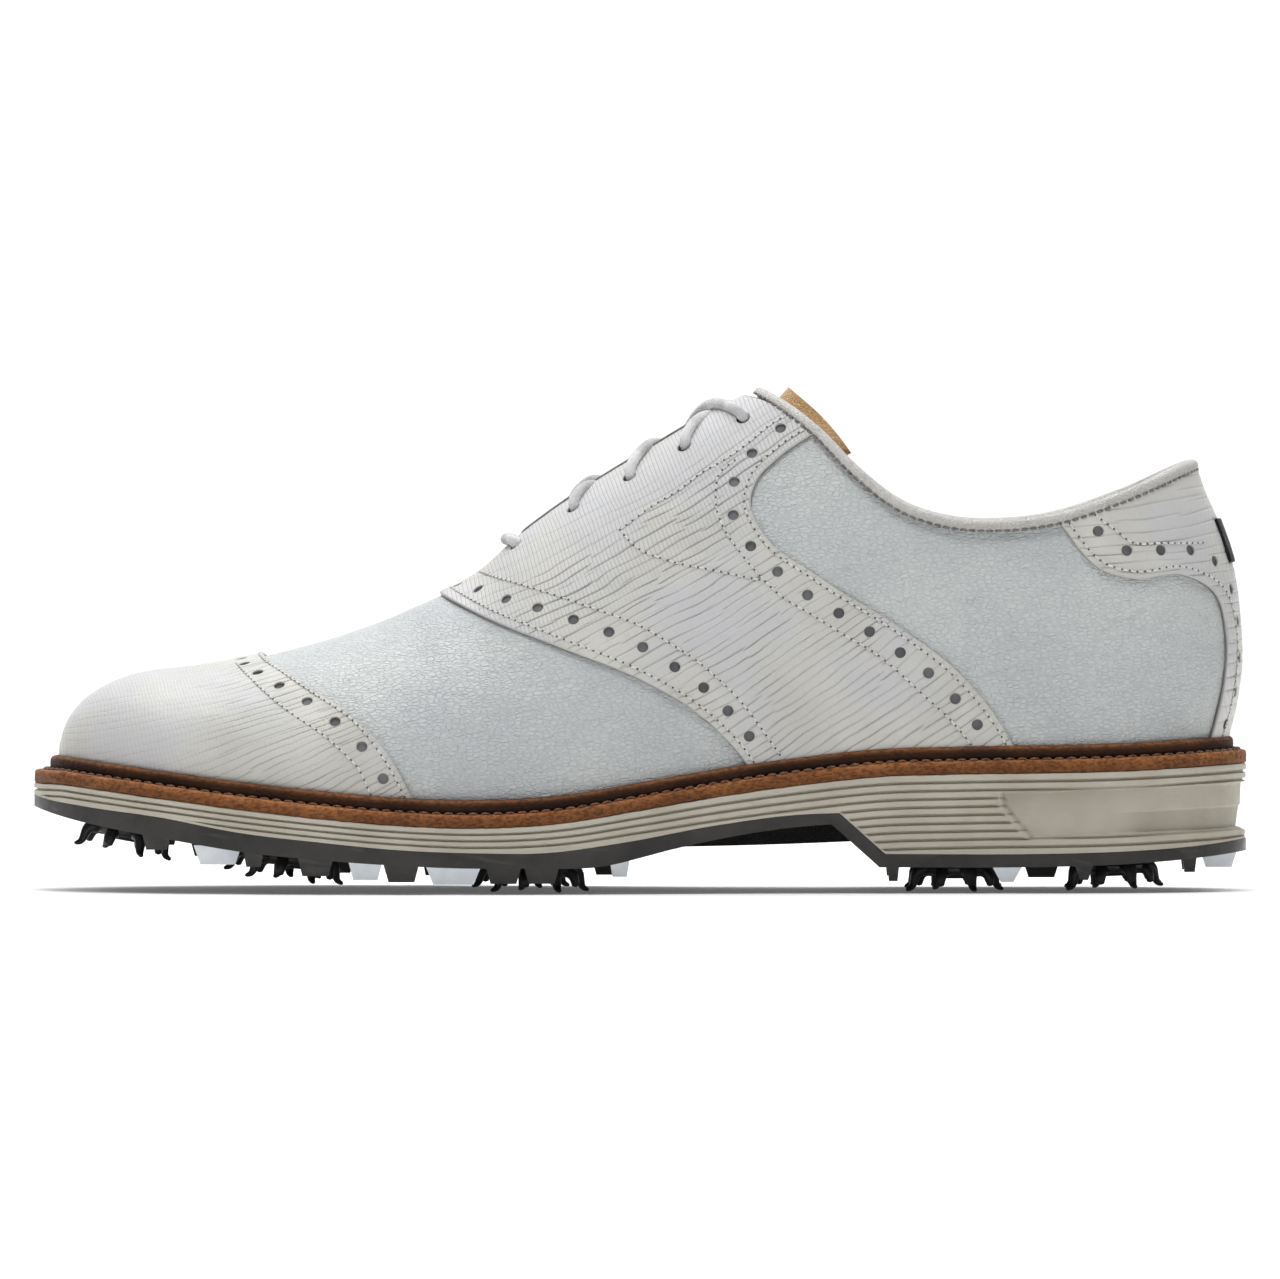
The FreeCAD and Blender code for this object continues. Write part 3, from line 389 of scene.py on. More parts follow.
def band(upper, lower):
    """Triangles between two loops of as many vertices."""
    after, below = np.roll(upper, -1), np.roll(lower, -1)
    return np.concatenate([np.stack([upper, lower, after], 1), np.stack([after, lower, below], 1)])


class Sheet:
    """A piece of leather: a patch of the last, cut by fields, with holes and shaped edges. Its top face lies
    the distance top off the base leather."""

    def __init__(self, levels, turns, spacing, top, thickness):
        self.top = top
        self.thickness = thickness
        some_turns = np.linspace(turns[0], turns[1], 9)
        some_levels = np.linspace(levels[0], levels[1], 9)
        rows = even(*levels, lambda t: on_base(t[:, None], some_turns[None, :]), spacing)
        columns = even(*turns, lambda t: on_base(some_levels[None, :], t[:, None]), spacing)
        self.places = np.stack(np.meshgrid(rows, columns, indexing="ij"), -1).reshape(-1, 2)
        self.faces = grid_faces(len(rows), len(columns))

    def points(self):
        """The top face and its outward normals."""
        return surface(*self.places.T, self.top)

    def cut(self, *fields, inset=0.0):
        for field in fields:
            self.places, self.faces = clip(self.places, self.faces, field(self.points()[0]) - inset)

    def punch(self, centres, radius):
        """Round holes. The rim of each starts a hole lip outside its radius and rounds over into it."""
        if len(centres):
            p = self.points()[0]
            gap = np.full(len(p), 1e9)
            for c in centres:
                gap = np.minimum(gap, np.linalg.norm(p - c, axis=1))
            self.places, self.faces = clip(self.places, self.faces, gap - radius - HOLE_LIP)

    def build(self, name, material, profile, relief, hole_profile=None):
        """The closed piece: top face with its relief, a skirt round every rim, and the bottom face. The value
        edge goes from 0 on the face to 1 down the skirt, for painted shade on the cut edges."""
        p, n = self.points()
        lift, shown = relief(p)
        points, faces = [p + n * lift[:, None]], [self.faces]
        values = {k: [v] for k, v in shown.items()}
        values["edge"] = [np.zeros(len(p))]
        count = len(p)
        rings = []
        for loop in rims(self.faces):
            loop = np.array(loop)
            line = p[loop]
            tangent = np.roll(line, -1, 0) - np.roll(line, 1, 0)
            out = np.cross(tangent, n[loop])
            out /= np.maximum(1e-9, np.linalg.norm(out, axis=1, keepdims=True))
            size = np.linalg.norm(np.diff(line, axis=0), axis=1).sum()
            shape = hole_profile if hole_profile is not None and size < LONGEST_HOLE_RIM else profile
            previous = loop
            for outward, down in shape:
                ring = line + out * outward - n[loop] * down
                index = np.arange(count, count + len(loop))
                count += len(loop)
                points.append(ring)
                for k in values:
                    values[k].append(np.full(len(loop), min(1.0, 1.6 * down) if k == "edge" else 0.0))
                faces.append(band(previous, index))
                previous = index
            rings.append((loop, previous))
        points.append(p - n * self.thickness)
        for k in values:
            values[k].append(np.zeros(len(p)))
        faces.append(self.faces[:, ::-1] + count)
        faces += [band(previous, loop + count) for loop, previous in rings]
        values = {k: np.concatenate(v) for k, v in values.items()}
        return make_object(name, np.concatenate(points), np.concatenate(faces), material, attributes=values)


def side_point(x, z, side, distance):
    """A point off the base leather over a place in the side view, and the outward normal."""
    x, z, side = np.broadcast_arrays(np.asarray(x, float), np.asarray(z, float), np.asarray(side, float))

    def at(a, b):
        return np.stack([a, centre_y(a) + side * half_width(a, b, side), b], -1)

    h = 0.08
    normal = np.cross(at(x + h, z) - at(x - h, z), at(x, z + h) - at(x, z - h)) * -side[..., None]
    normal *= np.sign(normal[..., 1:2]) * side[..., None]
    normal /= np.maximum(1e-9, np.linalg.norm(normal, axis=-1, keepdims=True))
    return at(x, z) + normal * np.asarray(distance)[..., None], normal


def offset(points, distance):
    """A line beside another in the side view; above 0 is towards the toe for a line that runs down."""
    line = smooth_line(points, 1.0)
    along = np.gradient(line, axis=0)
    along /= np.linalg.norm(along, axis=1, keepdims=True)
    return line + np.stack([along[:, 1], -along[:, 0]], -1) * distance


def tube_mesh(path, radius, columns=12, squash=1.0, up=(0.02, 0.01, 1.0), relief=None):
    """A round strand along a path, with an optional relief(run, turn) added to its radius."""
    path = np.asarray(path, float)
    along = np.gradient(path, axis=0)
    along /= np.linalg.norm(along, axis=1, keepdims=True)
    across = np.empty_like(path)
    v = np.asarray(up, float)
    for i, direction in enumerate(along):
        v = v - direction * (v @ direction)
        v = v / np.linalg.norm(v)
        across[i] = v
    third = np.cross(along, across)
    turn = 2 * math.pi * np.arange(columns) / columns
    r = np.broadcast_to(np.asarray(radius, float).reshape(-1, 1), (len(path), columns)).copy()
    if relief is not None:
        r = r + relief(run_along(path)[:, None], turn[None, :])
    r[[0, -1]] *= 0.35
    p = (path[:, None] + across[:, None] * (r * np.cos(turn) * squash)[..., None]
         + third[:, None] * (r * np.sin(turn))[..., None]).reshape(-1, 3)
    return p, tube_faces(len(path), columns)


def joined(parts):
    """Several (points, faces) as one."""
    points, faces, count = [], [], 0
    for p, f in parts:
        points.append(p)
        faces.extend([[v + count for v in face] for face in f])
        count += len(p)
    return np.concatenate(points), faces


def nurbs(poles, spacing):
    """Points along a clamped cubic B-spline with equal knots."""
    poles = np.asarray(poles, float)
    n = len(poles)
    knots = np.concatenate([[0, 0, 0], np.arange(n - 2), [n - 3] * 3]).astype(float)
    t = np.linspace(0, n - 3 - 1e-9, n * 30)
    level = [np.where((knots[i] <= t) & (t < knots[i + 1]), 1.0, 0.0) for i in range(len(knots) - 1)]
    for k in range(1, 4):
        new = []
        for i in range(len(knots) - 1 - k):
            a = knots[i + k] - knots[i]
            b = knots[i + k + 1] - knots[i + 1]
            left = (t - knots[i]) / a * level[i] if a > 0 else 0
            right = (knots[i + k + 1] - t) / b * level[i + 1] if b > 0 else 0
            new.append(left + right)
        level = new
    line = np.stack(level[:n], -1) @ poles
    run = run_along(line)
    return resampled(np.linspace(0, run[-1], int(run[-1] / spacing) + 2), run, line)


# ---------------------------------------------------------------- materials

def srgb(*c):
    return tuple((v / 255 / 12.92) if v <= 10.3 else ((v / 255 + 0.055) / 1.055) ** 2.4 for v in c) + (1.0,)


class Nodes:
    """Short calls that add nodes to a tree and give their outputs. They take outputs or plain values."""

    def __init__(self, tree):
        self.tree = tree

    def new(self, kind, **settings):
        node = self.tree.nodes.new("ShaderNode" + kind)
        for key, value in settings.items():
            setattr(node, key, value)
        return node

    def join(self, value, socket):
        if hasattr(value, "links"):
            self.tree.links.new(value, socket)
        else:
            socket.default_value = value

    def sum(self, kind, a, b=0.0):
        node = self.new("Math", operation=kind)
        self.join(a, node.inputs[0])
        self.join(b, node.inputs[1])
        return node.outputs[0]

    def times(self, a, b):
        return self.sum("MULTIPLY", a, b)

    def rest(self, value):
        """What is left of 1."""
        return self.sum("SUBTRACT", 1.0, value)

    def remap(self, value, low, high, a=0.0, b=1.0):
        node = self.new("MapRange", interpolation_type="SMOOTHSTEP")
        ends = {"From Min": low, "From Max": high, "To Min": a, "To Max": b}
        for key, number in {"Value": value, **ends}.items():
            self.join(number, node.inputs[key])
        return node.outputs["Result"]


class Look(Nodes):
    """A procedural material. Sizes are in millimetres in the part's axes."""

    MIX_A, MIX_B, MIX_RESULT = 6, 7, 2  # the colour sockets of a mix node

    def __init__(self, name, **constants):
        self.material = bpy.data.materials.new(name)
        self.material.use_nodes = True
        super().__init__(self.material.node_tree)
        self.shader = self.tree.nodes["Principled BSDF"]
        for key, value in constants.items():
            self.shader.inputs[key.replace("_", " ")].default_value = value
        self.where = self.new("TexCoord").outputs["Object"]
        self.normal = None

    def place(self, size, stretch=(1, 1, 1), turn=(0, 0, 0)):
        node = self.new("Mapping", vector_type="TEXTURE")
        node.inputs["Rotation"].default_value = [math.radians(a) for a in turn]
        node.inputs["Scale"].default_value = [size * MM * s for s in stretch]
        self.tree.links.new(self.where, node.inputs["Vector"])
        return node.outputs["Vector"]

    def noise(self, size, detail=2.0, stretch=(1, 1, 1), turn=(0, 0, 0), bend=0.0):
        node = self.new("TexNoise")
        for key, value in (("Scale", 1.0), ("Detail", detail), ("Distortion", bend),
                           ("Vector", self.place(size, stretch, turn))):
            self.join(value, node.inputs[key])
        return node.outputs["Fac"]

    def cells(self, size, stretch=(1, 1, 1), feature="DISTANCE_TO_EDGE"):
        node = self.new("TexVoronoi", feature=feature)
        for key, value in (("Scale", 1.0), ("Vector", self.place(size, stretch))):
            self.join(value, node.inputs[key])
        return node.outputs["Distance"]

    def wave(self, size, turn, bend, scale=1.0):
        node = self.new("TexWave")
        for key, value in (("Scale", scale), ("Distortion", bend), ("Vector", self.place(size, turn=turn))):
            self.join(value, node.inputs[key])
        return node.outputs["Fac"]

    def varied(self, size, detail, low, high):
        """A number that changes slowly from place to place."""
        return self.remap(self.noise(size, detail), 0.3, 0.7, low, high)

    def value(self, name):
        """A value that the mesh carries at its vertices."""
        return self.new("Attribute", attribute_name=name).outputs["Fac"]

    def near_line(self, value):
        """0.5 where a value is whole, 0 half way between."""
        return self.sum("ABSOLUTE", self.sum("SUBTRACT", self.sum("FRACT", value), 0.5))

    def mix(self, share, a, b):
        node = self.new("Mix", data_type="RGBA")
        self.join(share, node.inputs["Factor"])
        self.join(a, node.inputs[self.MIX_A])
        self.join(b, node.inputs[self.MIX_B])
        return node.outputs[self.MIX_RESULT]

    def blotched(self, size, detail, one, other, low=0.3, high=0.7):
        """A slow change between two colours."""
        return self.mix(self.remap(self.noise(size, detail), low, high), one, other)

    def bump(self, height, depth, strength=1.0):
        node = self.new("Bump")
        for key, value in (("Strength", strength), ("Distance", depth * MM), ("Height", height)):
            self.join(value, node.inputs[key])
        if self.normal is not None:
            self.tree.links.new(self.normal, node.inputs["Normal"])
        self.normal = node.outputs["Normal"]

    def done(self, colour, roughness):
        self.join(colour, self.shader.inputs["Base Color"])
        self.join(roughness, self.shader.inputs["Roughness"])
        if self.normal is not None:
            self.tree.links.new(self.normal, self.shader.inputs["Normal"])
        return self.material


def groove_lines(look):
    """Height of the pressed lines, from the flow values that the sheets carry: 1 between lines, 0 in them."""
    heights = []
    for key in ("flow_a", "flow_b"):
        heights.append(look.remap(look.near_line(look.value(key)), 0.36, 0.5, 1.0, 0.0))
    share = look.value("which")
    return look.sum("ADD", look.times(heights[0], share),
                    look.times(heights[1], look.rest(share)))


def embossed_leather():
    look = Look("leather_embossed", Coat_Weight=0.06, Coat_Roughness=0.35, Sheen_Weight=0.08,
                Sheen_Roughness=0.5, Specular_IOR_Level=0.42)
    lines = groove_lines(look)
    depth = look.value("fade")
    shown = look.rest(look.times(look.rest(lines), depth))
    cross = look.times(look.remap(look.near_line(look.value("cross")), 0.3, 0.5), look.value("cross_fade"))
    warm = look.blotched(22, 3, srgb(210, 209, 202), srgb(199, 198, 191), 0.35, 0.7)
    cool = look.mix(look.remap(look.noise(35, 2, turn=(0, 30, 0)), 0.4, 0.65), warm, srgb(202, 202, 204))
    worn = look.mix(look.times(look.remap(look.noise(0.9, 3), 0.5, 0.8), 0.25), cool, srgb(184, 182, 175))
    # Painted shade: darker in the pressed lines, in the fine cross-hatch and down the cut edges.
    painted_shade_tone = look.mix(look.times(look.rest(shown), 0.55), worn, srgb(132, 131, 127))
    painted_shade_tone = look.mix(look.times(cross, 0.34), painted_shade_tone, srgb(150, 149, 145))
    painted_shade_tone = look.mix(look.times(look.value("edge"), 0.95), painted_shade_tone, srgb(106, 104, 103))
    look.bump(shown, 0.22, 0.9)
    look.bump(look.rest(cross), 0.1, 0.8)
    look.bump(look.cells(0.75, (1.0, 1.0, 1.25)), 0.05, 0.5)
    look.bump(look.noise(1.6, 4), 0.12, 0.55)
    return look.done(painted_shade_tone, look.varied(3.0, 3, 0.38, 0.52))


def smooth_leather(name, light, dark, shade, grain=1.15, wrinkle=1.0, rough=(0.34, 0.5), gloss=0.45):
    look = Look(name, Coat_Weight=0.15 * gloss, Coat_Roughness=0.3, Sheen_Weight=0.1 * gloss,
                Sheen_Roughness=0.5, Specular_IOR_Level=gloss)
    base = look.blotched(28, 3, light, dark, 0.35, 0.68)
    creased = look.noise(1.9, 4, (2.2, 1.0, 0.62), (0, -14, 0), 1.2)
    pores = look.remap(look.cells(grain, (1.5, 1.0, 0.8)), 0.0, 0.16)
    tone = look.mix(look.times(look.rest(pores), 0.17), base, shade)
    # Darker in the creases: painted shade.
    tone = look.mix(look.times(look.remap(creased, 0.34, 0.47, 1.0, 0.0), 0.13 * wrinkle), tone, shade)
    look.bump(pores, 0.2, 0.8)
    look.bump(creased, 0.45 * wrinkle, 0.8)
    look.bump(look.noise(0.7, 3), 0.07, 0.5)
    return look.done(tone, look.varied(4, 3, *rough))


def textile(name, light, dark, size, fuzz=0.3, depth=0.12, weave=True):
    """Woven or foamed stuff: a small weave or open cells, with softer patches."""
    look = Look(name, Sheen_Weight=fuzz, Sheen_Roughness=0.6, Specular_IOR_Level=0.2)
    if weave:
        height = look.sum("MAXIMUM", *[look.wave(size * 3.2, (0, slant, 0), 0.4) for slant in (45, -45)])
    else:
        height = look.remap(look.cells(size), 0.0, 0.25)
    tone = look.blotched(9, 3, light, dark)
    tone = look.mix(look.times(look.rest(height), 0.45), tone, dark)
    look.bump(height, depth, 0.7)
    look.bump(look.noise(size * 0.5, 3), depth * 0.5, 0.4)
    return look.done(tone, 0.82)


def moulded(name, light, dark, rough, grain, depth, scuff=None, groove=None, ribs=None, **constants):
    """Moulded plastic, rubber or foam: fine texture, soft colour change and light scuffs. The groove colour
    comes in with the edge value as painted shade in grooves and recesses, and ribs is the size of a slanting
    pattern of ribs that also lighten the colour in stripes."""
    look = Look(name, Specular_IOR_Level=0.4, **constants)
    scuff = scuff or light
    tone = look.blotched(14, 4, light, dark)
    marks = look.remap(look.noise(5, 5, (3.0, 1.0, 0.5), (0, 8, 0), 0.6), 0.58, 0.72)
    tone = look.mix(look.times(marks, 0.35), tone, scuff)
    # Painted shade: the edge value darkens grooves and recesses towards the groove colour.
    if groove is not None:
        tone = look.mix(look.value("edge"), tone, groove)
    if ribs is not None:
        wave = look.wave(ribs, (0, 62, 0), 0.6, 5.0)
        look.bump(wave, 0.8, 1.0)
        tone = look.mix(look.times(wave, 0.5), tone, scuff)
    look.bump(look.cells(grain), depth, 0.5)
    look.bump(look.noise(2.2, 4), depth * 1.5, 0.4)
    return look.done(tone, look.varied(3.5, 4, *rough))


def welt_leather():
    look = Look("leather_welt", Specular_IOR_Level=0.18, Sheen_Weight=0.03, Sheen_Roughness=0.6)
    fibre = look.noise(0.8, 5, (1.6, 1.6, 0.8), (0, -3, 0), 0.5)
    blotch = look.noise(7, 4, (2.0, 2.0, 1.0))
    tone = look.mix(look.remap(blotch, 0.3, 0.7), srgb(63, 35, 15), srgb(39, 20, 8))
    light = look.mix(look.remap(blotch, 0.3, 0.7), srgb(180, 117, 68), srgb(150, 92, 50))
    # The edge value turns the dark brown towards tan: partly the lower welt's own colour, partly painted light
    # on the upper faces of both welts.
    tone = look.mix(look.value("edge"), tone, light)
    tone = look.mix(look.times(look.remap(fibre, 0.36, 0.6, 1.0, 0.0), 0.55), tone, srgb(44, 24, 12))
    look.bump(fibre, 0.3, 0.9)
    look.bump(look.noise(0.35, 3), 0.08, 0.6)
    return look.done(tone, look.remap(fibre, 0.3, 0.7, 0.78, 0.55))


def brushed_steel():
    look = Look("steel", Metallic=1.0, Anisotropic=0.4)
    lines = look.noise(0.5, 4, (30.0, 1.0, 1.0))
    tone = look.mix(look.remap(lines, 0.3, 0.7), srgb(176, 178, 181), srgb(142, 144, 148))
    tone = look.mix(look.times(look.remap(look.noise(8, 4), 0.6, 0.75), 0.4), tone, srgb(108, 92, 80))
    look.bump(lines, 0.03, 0.3)
    return look.done(tone, look.remap(lines, 0.3, 0.7, 0.25, 0.42))


def cork():
    look = Look("cork", Specular_IOR_Level=0.2)
    grains = look.cells(1.4, feature="F1")
    tone = look.mix(look.remap(grains, 0.1, 0.7), srgb(176, 128, 84), srgb(124, 82, 50))
    tone = look.mix(look.times(look.remap(look.noise(2.5, 4), 0.55, 0.7), 0.6), tone, srgb(78, 48, 30))
    look.bump(grains, 0.3, 0.6)
    return look.done(tone, 0.88)


def clear_plastic():
    """Pale milky rubber. Its faint glow stands for the light that passes through a clear lug."""
    look = Look("clear_rubber", Transmission_Weight=0.15, IOR=1.4, Subsurface_Weight=0.3,
                Subsurface_Scale=0.004, Specular_IOR_Level=0.6, Emission_Color=(0.92, 0.95, 1.0, 1.0),
                Emission_Strength=0.11)
    tone = look.blotched(6, 3, srgb(244, 246, 249), srgb(222, 227, 234))
    look.bump(look.noise(2.5, 2), 0.04, 0.3)
    return look.done(tone, look.varied(2.5, 3, 0.1, 0.2))


def laid_thread(name, light, dark):
    """Twisted thread: fine slanted plies on every stitch."""
    look = Look(name, Sheen_Weight=0.25, Sheen_Roughness=0.5, Specular_IOR_Level=0.3)
    plies = look.noise(0.35, 2, (3.0, 1.0, 1.0), (0, 40, 0))
    tone = look.mix(look.remap(plies, 0.35, 0.6), dark, light)
    tone = look.mix(look.times(look.remap(look.noise(12, 3), 0.5, 0.75), 0.3), tone, dark)
    look.bump(plies, 0.1, 0.8)
    return look.done(tone, look.remap(plies, 0.3, 0.7, 0.75, 0.55))


RUBBER = ((0.3, 0.45), 0.5, 0.04)  # roughness, grain and depth
LOOKS = {
    "leather_embossed": embossed_leather(),
    "leather_smooth": smooth_leather("leather_smooth", srgb(207, 211, 210), srgb(197, 201, 203),
                                     srgb(146, 150, 155)),
    "leather_backing": smooth_leather("leather_backing", srgb(214, 212, 208), srgb(200, 197, 192),
                                      srgb(150, 148, 144), 0.7),
    "leather_lining": smooth_leather("leather_lining", srgb(216, 208, 196), srgb(203, 194, 181),
                                     srgb(160, 148, 132), 0.8, 0.6, (0.5, 0.65)),
    "leather_tan": smooth_leather("leather_tan", srgb(222, 182, 130), srgb(204, 164, 112), srgb(150, 112, 70),
                                  0.8, 0.6),
    "leather_welt": welt_leather(),
    "leather_black": smooth_leather("leather_black", srgb(21, 21, 22), srgb(14, 14, 15), srgb(6, 6, 7),
                                    0.8, 0.7, (0.45, 0.6), 0.2),
    "stiffener": moulded("stiffener", srgb(206, 202, 192), srgb(184, 178, 166), (0.6, 0.75), 0.7, 0.06),
    "foam": textile("foam", srgb(236, 232, 218), srgb(204, 198, 180), 0.7, weave=False),
    "lace": textile("lace", srgb(236, 236, 235), srgb(186, 186, 188), 0.45, 0.3, 0.2),
    "thread": laid_thread("thread", srgb(228, 227, 224), srgb(190, 188, 184)),
    "board": textile("board", srgb(196, 170, 132), srgb(162, 134, 98), 0.5, 0.1, 0.06, weave=False),
    "cork": cork(),
    "steel": brushed_steel(),
    # The midsole's last colour is painted shade for its grooves and heel panel.
    "midsole": moulded("midsole", srgb(192, 187, 173), srgb(181, 175, 160), (0.45, 0.6), 0.6, 0.04,
                       srgb(168, 161, 145), srgb(124, 115, 98), Subsurface_Weight=0.03,
                       Subsurface_Scale=0.001),
    "outsole": moulded("outsole", srgb(58, 56, 54), srgb(42, 41, 40), *RUBBER, srgb(80, 78, 76)),
    "arch": moulded("outsole_ribbed", srgb(48, 47, 46), srgb(34, 34, 33), *RUBBER, srgb(70, 69, 68),
                    ribs=7.0),
    "clear_rubber": clear_plastic(),
    "black_plastic": moulded("black_plastic", srgb(40, 40, 42), srgb(26, 26, 28), (0.3, 0.45), 0.4, 0.03,
                             srgb(70, 70, 72)),
    "sock": textile("sock", srgb(196, 184, 166), srgb(168, 154, 134), 0.5, 0.3, 0.1),
}
# Small dark things that the CAD has no material for. The needle holes, eyelets and perforations get painted
# shade in their holes, and the grey thread also draws painted shade along the slit's cut edges.
NEEDLE_HOLE_SHADE = moulded("needle_hole_shade", srgb(104, 103, 101), srgb(82, 81, 80), (0.8, 0.9), 0.3, 0.02)
EYELET_DARK = moulded("eyelet_shadow", srgb(66, 65, 66), srgb(48, 47, 48), (0.8, 0.9), 0.3, 0.02)
GREY_THREAD_AND_EDGE_SHADE = laid_thread("collar_thread_and_edge_shade", srgb(134, 128, 125), srgb(88, 83, 82))
PERFORATION_SHADE = textile("perforation_shade", srgb(138, 138, 141), srgb(108, 108, 111), 0.3, 0.1, 0.05)
TAN_THREAD = laid_thread("welt_thread", srgb(122, 78, 48), srgb(58, 34, 20))

for part in frame["record"]["subparts"]:
    obj = frame["nodes"][part["node"]]
    obj.data.materials.clear()
    obj.data.materials.append(LOOKS["arch" if part["node"] == "arch_bridge" else part["material_slot"]])


# ---------------------------------------------------------------- the pressed lines of the overlays

def pressed(p, slope, bend, start, spacing, seed, fade, cross_fade, spread=0.0):
    """Depth and shader values of long wavy pressed lines. slope and bend say how the lines rise to the heel.
    spread makes them run lengthwise over the crown instead of round it."""
    x, z, off_middle = p[:, 0], p[:, 2], p[:, 1] - centre_y(p[:, 0])
    side = np.where(off_middle < 0, 0, 50)
    z = z + spread * (outer_side(x) - np.abs(off_middle))
    rise = slope + bend * (x - start)
    height = slope * (x - start) + bend * (x - start) ** 2 / 2
    level = (z - height) / np.sqrt(1 + rise ** 2)
    run = (x + rise * z) / np.sqrt(1 + rise ** 2)
    wander = 0.4 * noise(x / 24 + side, z / 13, seed) + 0.16 * noise(x / 8 + side, z / 4, seed + 1)
    flow_a = level / spacing + wander
    flow_b = level / (spacing * 1.16) + wander * 0.8 + 0.5 + 0.3 * noise(x / 22 + side, z / 13, seed + 2)
    which = smooth_step(noise(run / 15 + side, level / (1.3 * spacing), seed + 3), -0.12, 0.12)
    strength = fade * (0.62 + 0.38 * noise(run / 9 + side, level / (1.5 * spacing), seed + 4))
    depth = 0
    for flow, share in ((flow_a, which), (flow_b, 1 - which)):
        depth = depth + share * smooth_step(np.abs(flow % 1 - 0.5), 0.36, 0.5)
    swell = 0.09 * noise(x / 7 + side, z / 5, seed + 5)
    shown = {"flow_a": flow_a, "flow_b": flow_b, "which": which, "fade": np.clip(strength, 0, 1),
             "cross": run / 1.25 + 0.4 * noise(x / 8 + side, z / 5, seed + 6), "cross_fade": cross_fade}
    return swell - 0.27 * depth * strength - 0.02, shown


def cap_lines(p):
    fade = smooth_step(p[:, 0] - 0.25 * (p[:, 2] - 45), -116, -92)
    return pressed(p, 0.36, 0.005, -95, 1.75, 11, 0.3 + 0.7 * fade, 0.55 - 0.4 * fade, 0.45)


def saddle_lines(p):
    under_crest = ridge(p[:, 0]) - p[:, 2]
    fade = smooth_step(under_crest, 6, 20)
    brick = 1 - smooth_step(under_crest, 24, 40)
    return pressed(p, 0.34, 0.0035, -40, 2.25, 31, 0.3 + 0.7 * fade, 0.1 + 0.9 * brick)


def counter_lines(p):
    rear = smooth_step(p[:, 0], 138, 146)
    return pressed(p, 0.05, 0.003, 110, 2.7, 51, 1 - 0.2 * rear, 0.1 + 0.5 * rear)


def soft_wrinkles(seed, size, depth):
    def relief(p):
        side = np.where(p[:, 1] < 0, 0, 40)
        a = noise((p[:, 0] + 0.6 * p[:, 2]) / size + side, p[:, 2] / (0.45 * size), seed)
        b = noise(p[:, 0] / (0.4 * size) + side, p[:, 2] / (0.25 * size), seed + 1)
        return depth * (a + 0.4 * b), {}
    return relief


# ---------------------------------------------------------------- the upper

HALVINGS = 40
FLAT_CREST = 2.0  # to each side of the middle line, where the crest is taken as level across


def crest_point(x, y, distance):
    """A point over or under the base leather near the crest of the instep."""
    side = -1 if y < centre_y(x) else 1
    low, high = feather(x), ridge(x)
    for _ in range(HALVINGS):
        z = (low + high) / 2
        if half_width(x, z, side) > abs(y - centre_y(x)):
            low = z
        else:
            high = z
    if abs(y - centre_y(x)) < FLAT_CREST:
        normal = np.array([-(ridge(x + 0.5) - ridge(x - 0.5)), 0.0, 1.0])
        return np.array([x, y, ridge(x)]) + normal / np.linalg.norm(normal) * distance
    return side_point(x, min(z, ridge(x) - 0.3), side, distance)[0]


def crown(x, y, distance):
    """A place and its normal on top of the shoe, y from its middle line."""
    y = y + centre_y(x)
    along = crest_point(x + 1.5, y, 0.0) - crest_point(x - 1.5, y, 0.0)
    across = crest_point(x, y + 2.5, 0.0) - crest_point(x, y - 2.5, 0.0)
    normal = np.cross(along, across)
    normal /= np.linalg.norm(normal)
    return crest_point(x, y, 0.0) + normal * distance, normal


# Perforations over the crown: x, and y from the middle line.
CAP_CROWN = [(-99.8, -7.0), (-100.2, 0.0), (-99.8, 7.0)]
SADDLE_CROWN = [(-45.4, -5.6), (-45.4, 5.6)]


def holes(centres, sides=(-1, 1)):
    points = [side_point(*c, s, OVERLAY)[0] for c in centres for s in sides]
    return np.array(points)


HOLE_RADIUS, EYELET_RADIUS = 1.35, 1.75
CUT_EDGE = 0.35
OVERLAY_BODY = OVERLAY - 0.04
BOTH_SIDES = ((-1, "outer"), (1, "inner"))


def overlay(name, levels, turns, fields, relief, perforations, eyelets=(), sides=(-1, 1), on_top=()):
    sheet = Sheet(levels, turns, 0.5, OVERLAY, OVERLAY_BODY)
    sheet.cut(*fields, inset=CUT_EDGE)
    sheet.punch(holes(perforations, sides), HOLE_RADIUS)
    sheet.punch(np.array([crown(*place, OVERLAY)[0] for place in on_top]), HOLE_RADIUS)
    sheet.punch(holes(eyelets, sides), EYELET_RADIUS)
    obj = sheet.build(name, LOOKS["leather_embossed"], rounded(CUT_EDGE, OVERLAY_BODY), relief,
                      rounded(HOLE_LIP, OVERLAY_BODY))
    return obj


bottom, under_collar = above_feather(2.6), under_topline(BINDING - 0.3)
cap = overlay("toe_cap_skin", (0.25, 9.3), (-1.4, 1.4), [front_of(CAP_EDGE), bottom], cap_lines, CAP_HOLES,
              on_top=CAP_CROWN)
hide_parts("toe_cap")
for side, word in BOTH_SIDES:
    turns = (-2.45, -0.001) if side < 0 else (0.001, 2.45)
    fields = [rear_of(SADDLE_FRONT), front_of(SADDLE_REAR), bottom, outside_slit, one_side(side, 0.02),
              under_collar]
    saddle = overlay(f"saddle_{word}_skin", (0.25, 16), turns, fields, saddle_lines,
                     SADDLE_FRONT_HOLES + SADDLE_REAR_HOLES, EYELETS, (side,), SADDLE_CROWN)
    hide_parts(f"saddle_{word}")
counter = overlay("heel_overlay_skin", (0.25, 15), (1.75, 2 * math.pi - 1.75),
                  [rear_of(COUNTER_EDGE), bottom, under_collar], counter_lines, COUNTER_HOLES + BACK_HOLES)
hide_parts("heel_overlay")


def base(name, node, levels, turns, fields, spacing, relief):
    """The smooth leather under the overlays."""
    sheet = Sheet(levels, turns, spacing, 0.0, BASE)
    sheet.cut(*fields)
    obj = sheet.build(name, LOOKS["leather_smooth"], [(0.0, BASE)], relief)
    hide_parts(node)


def moved(points, dx, dz):
    return [(x + dx, z + dz) for x, z in points]


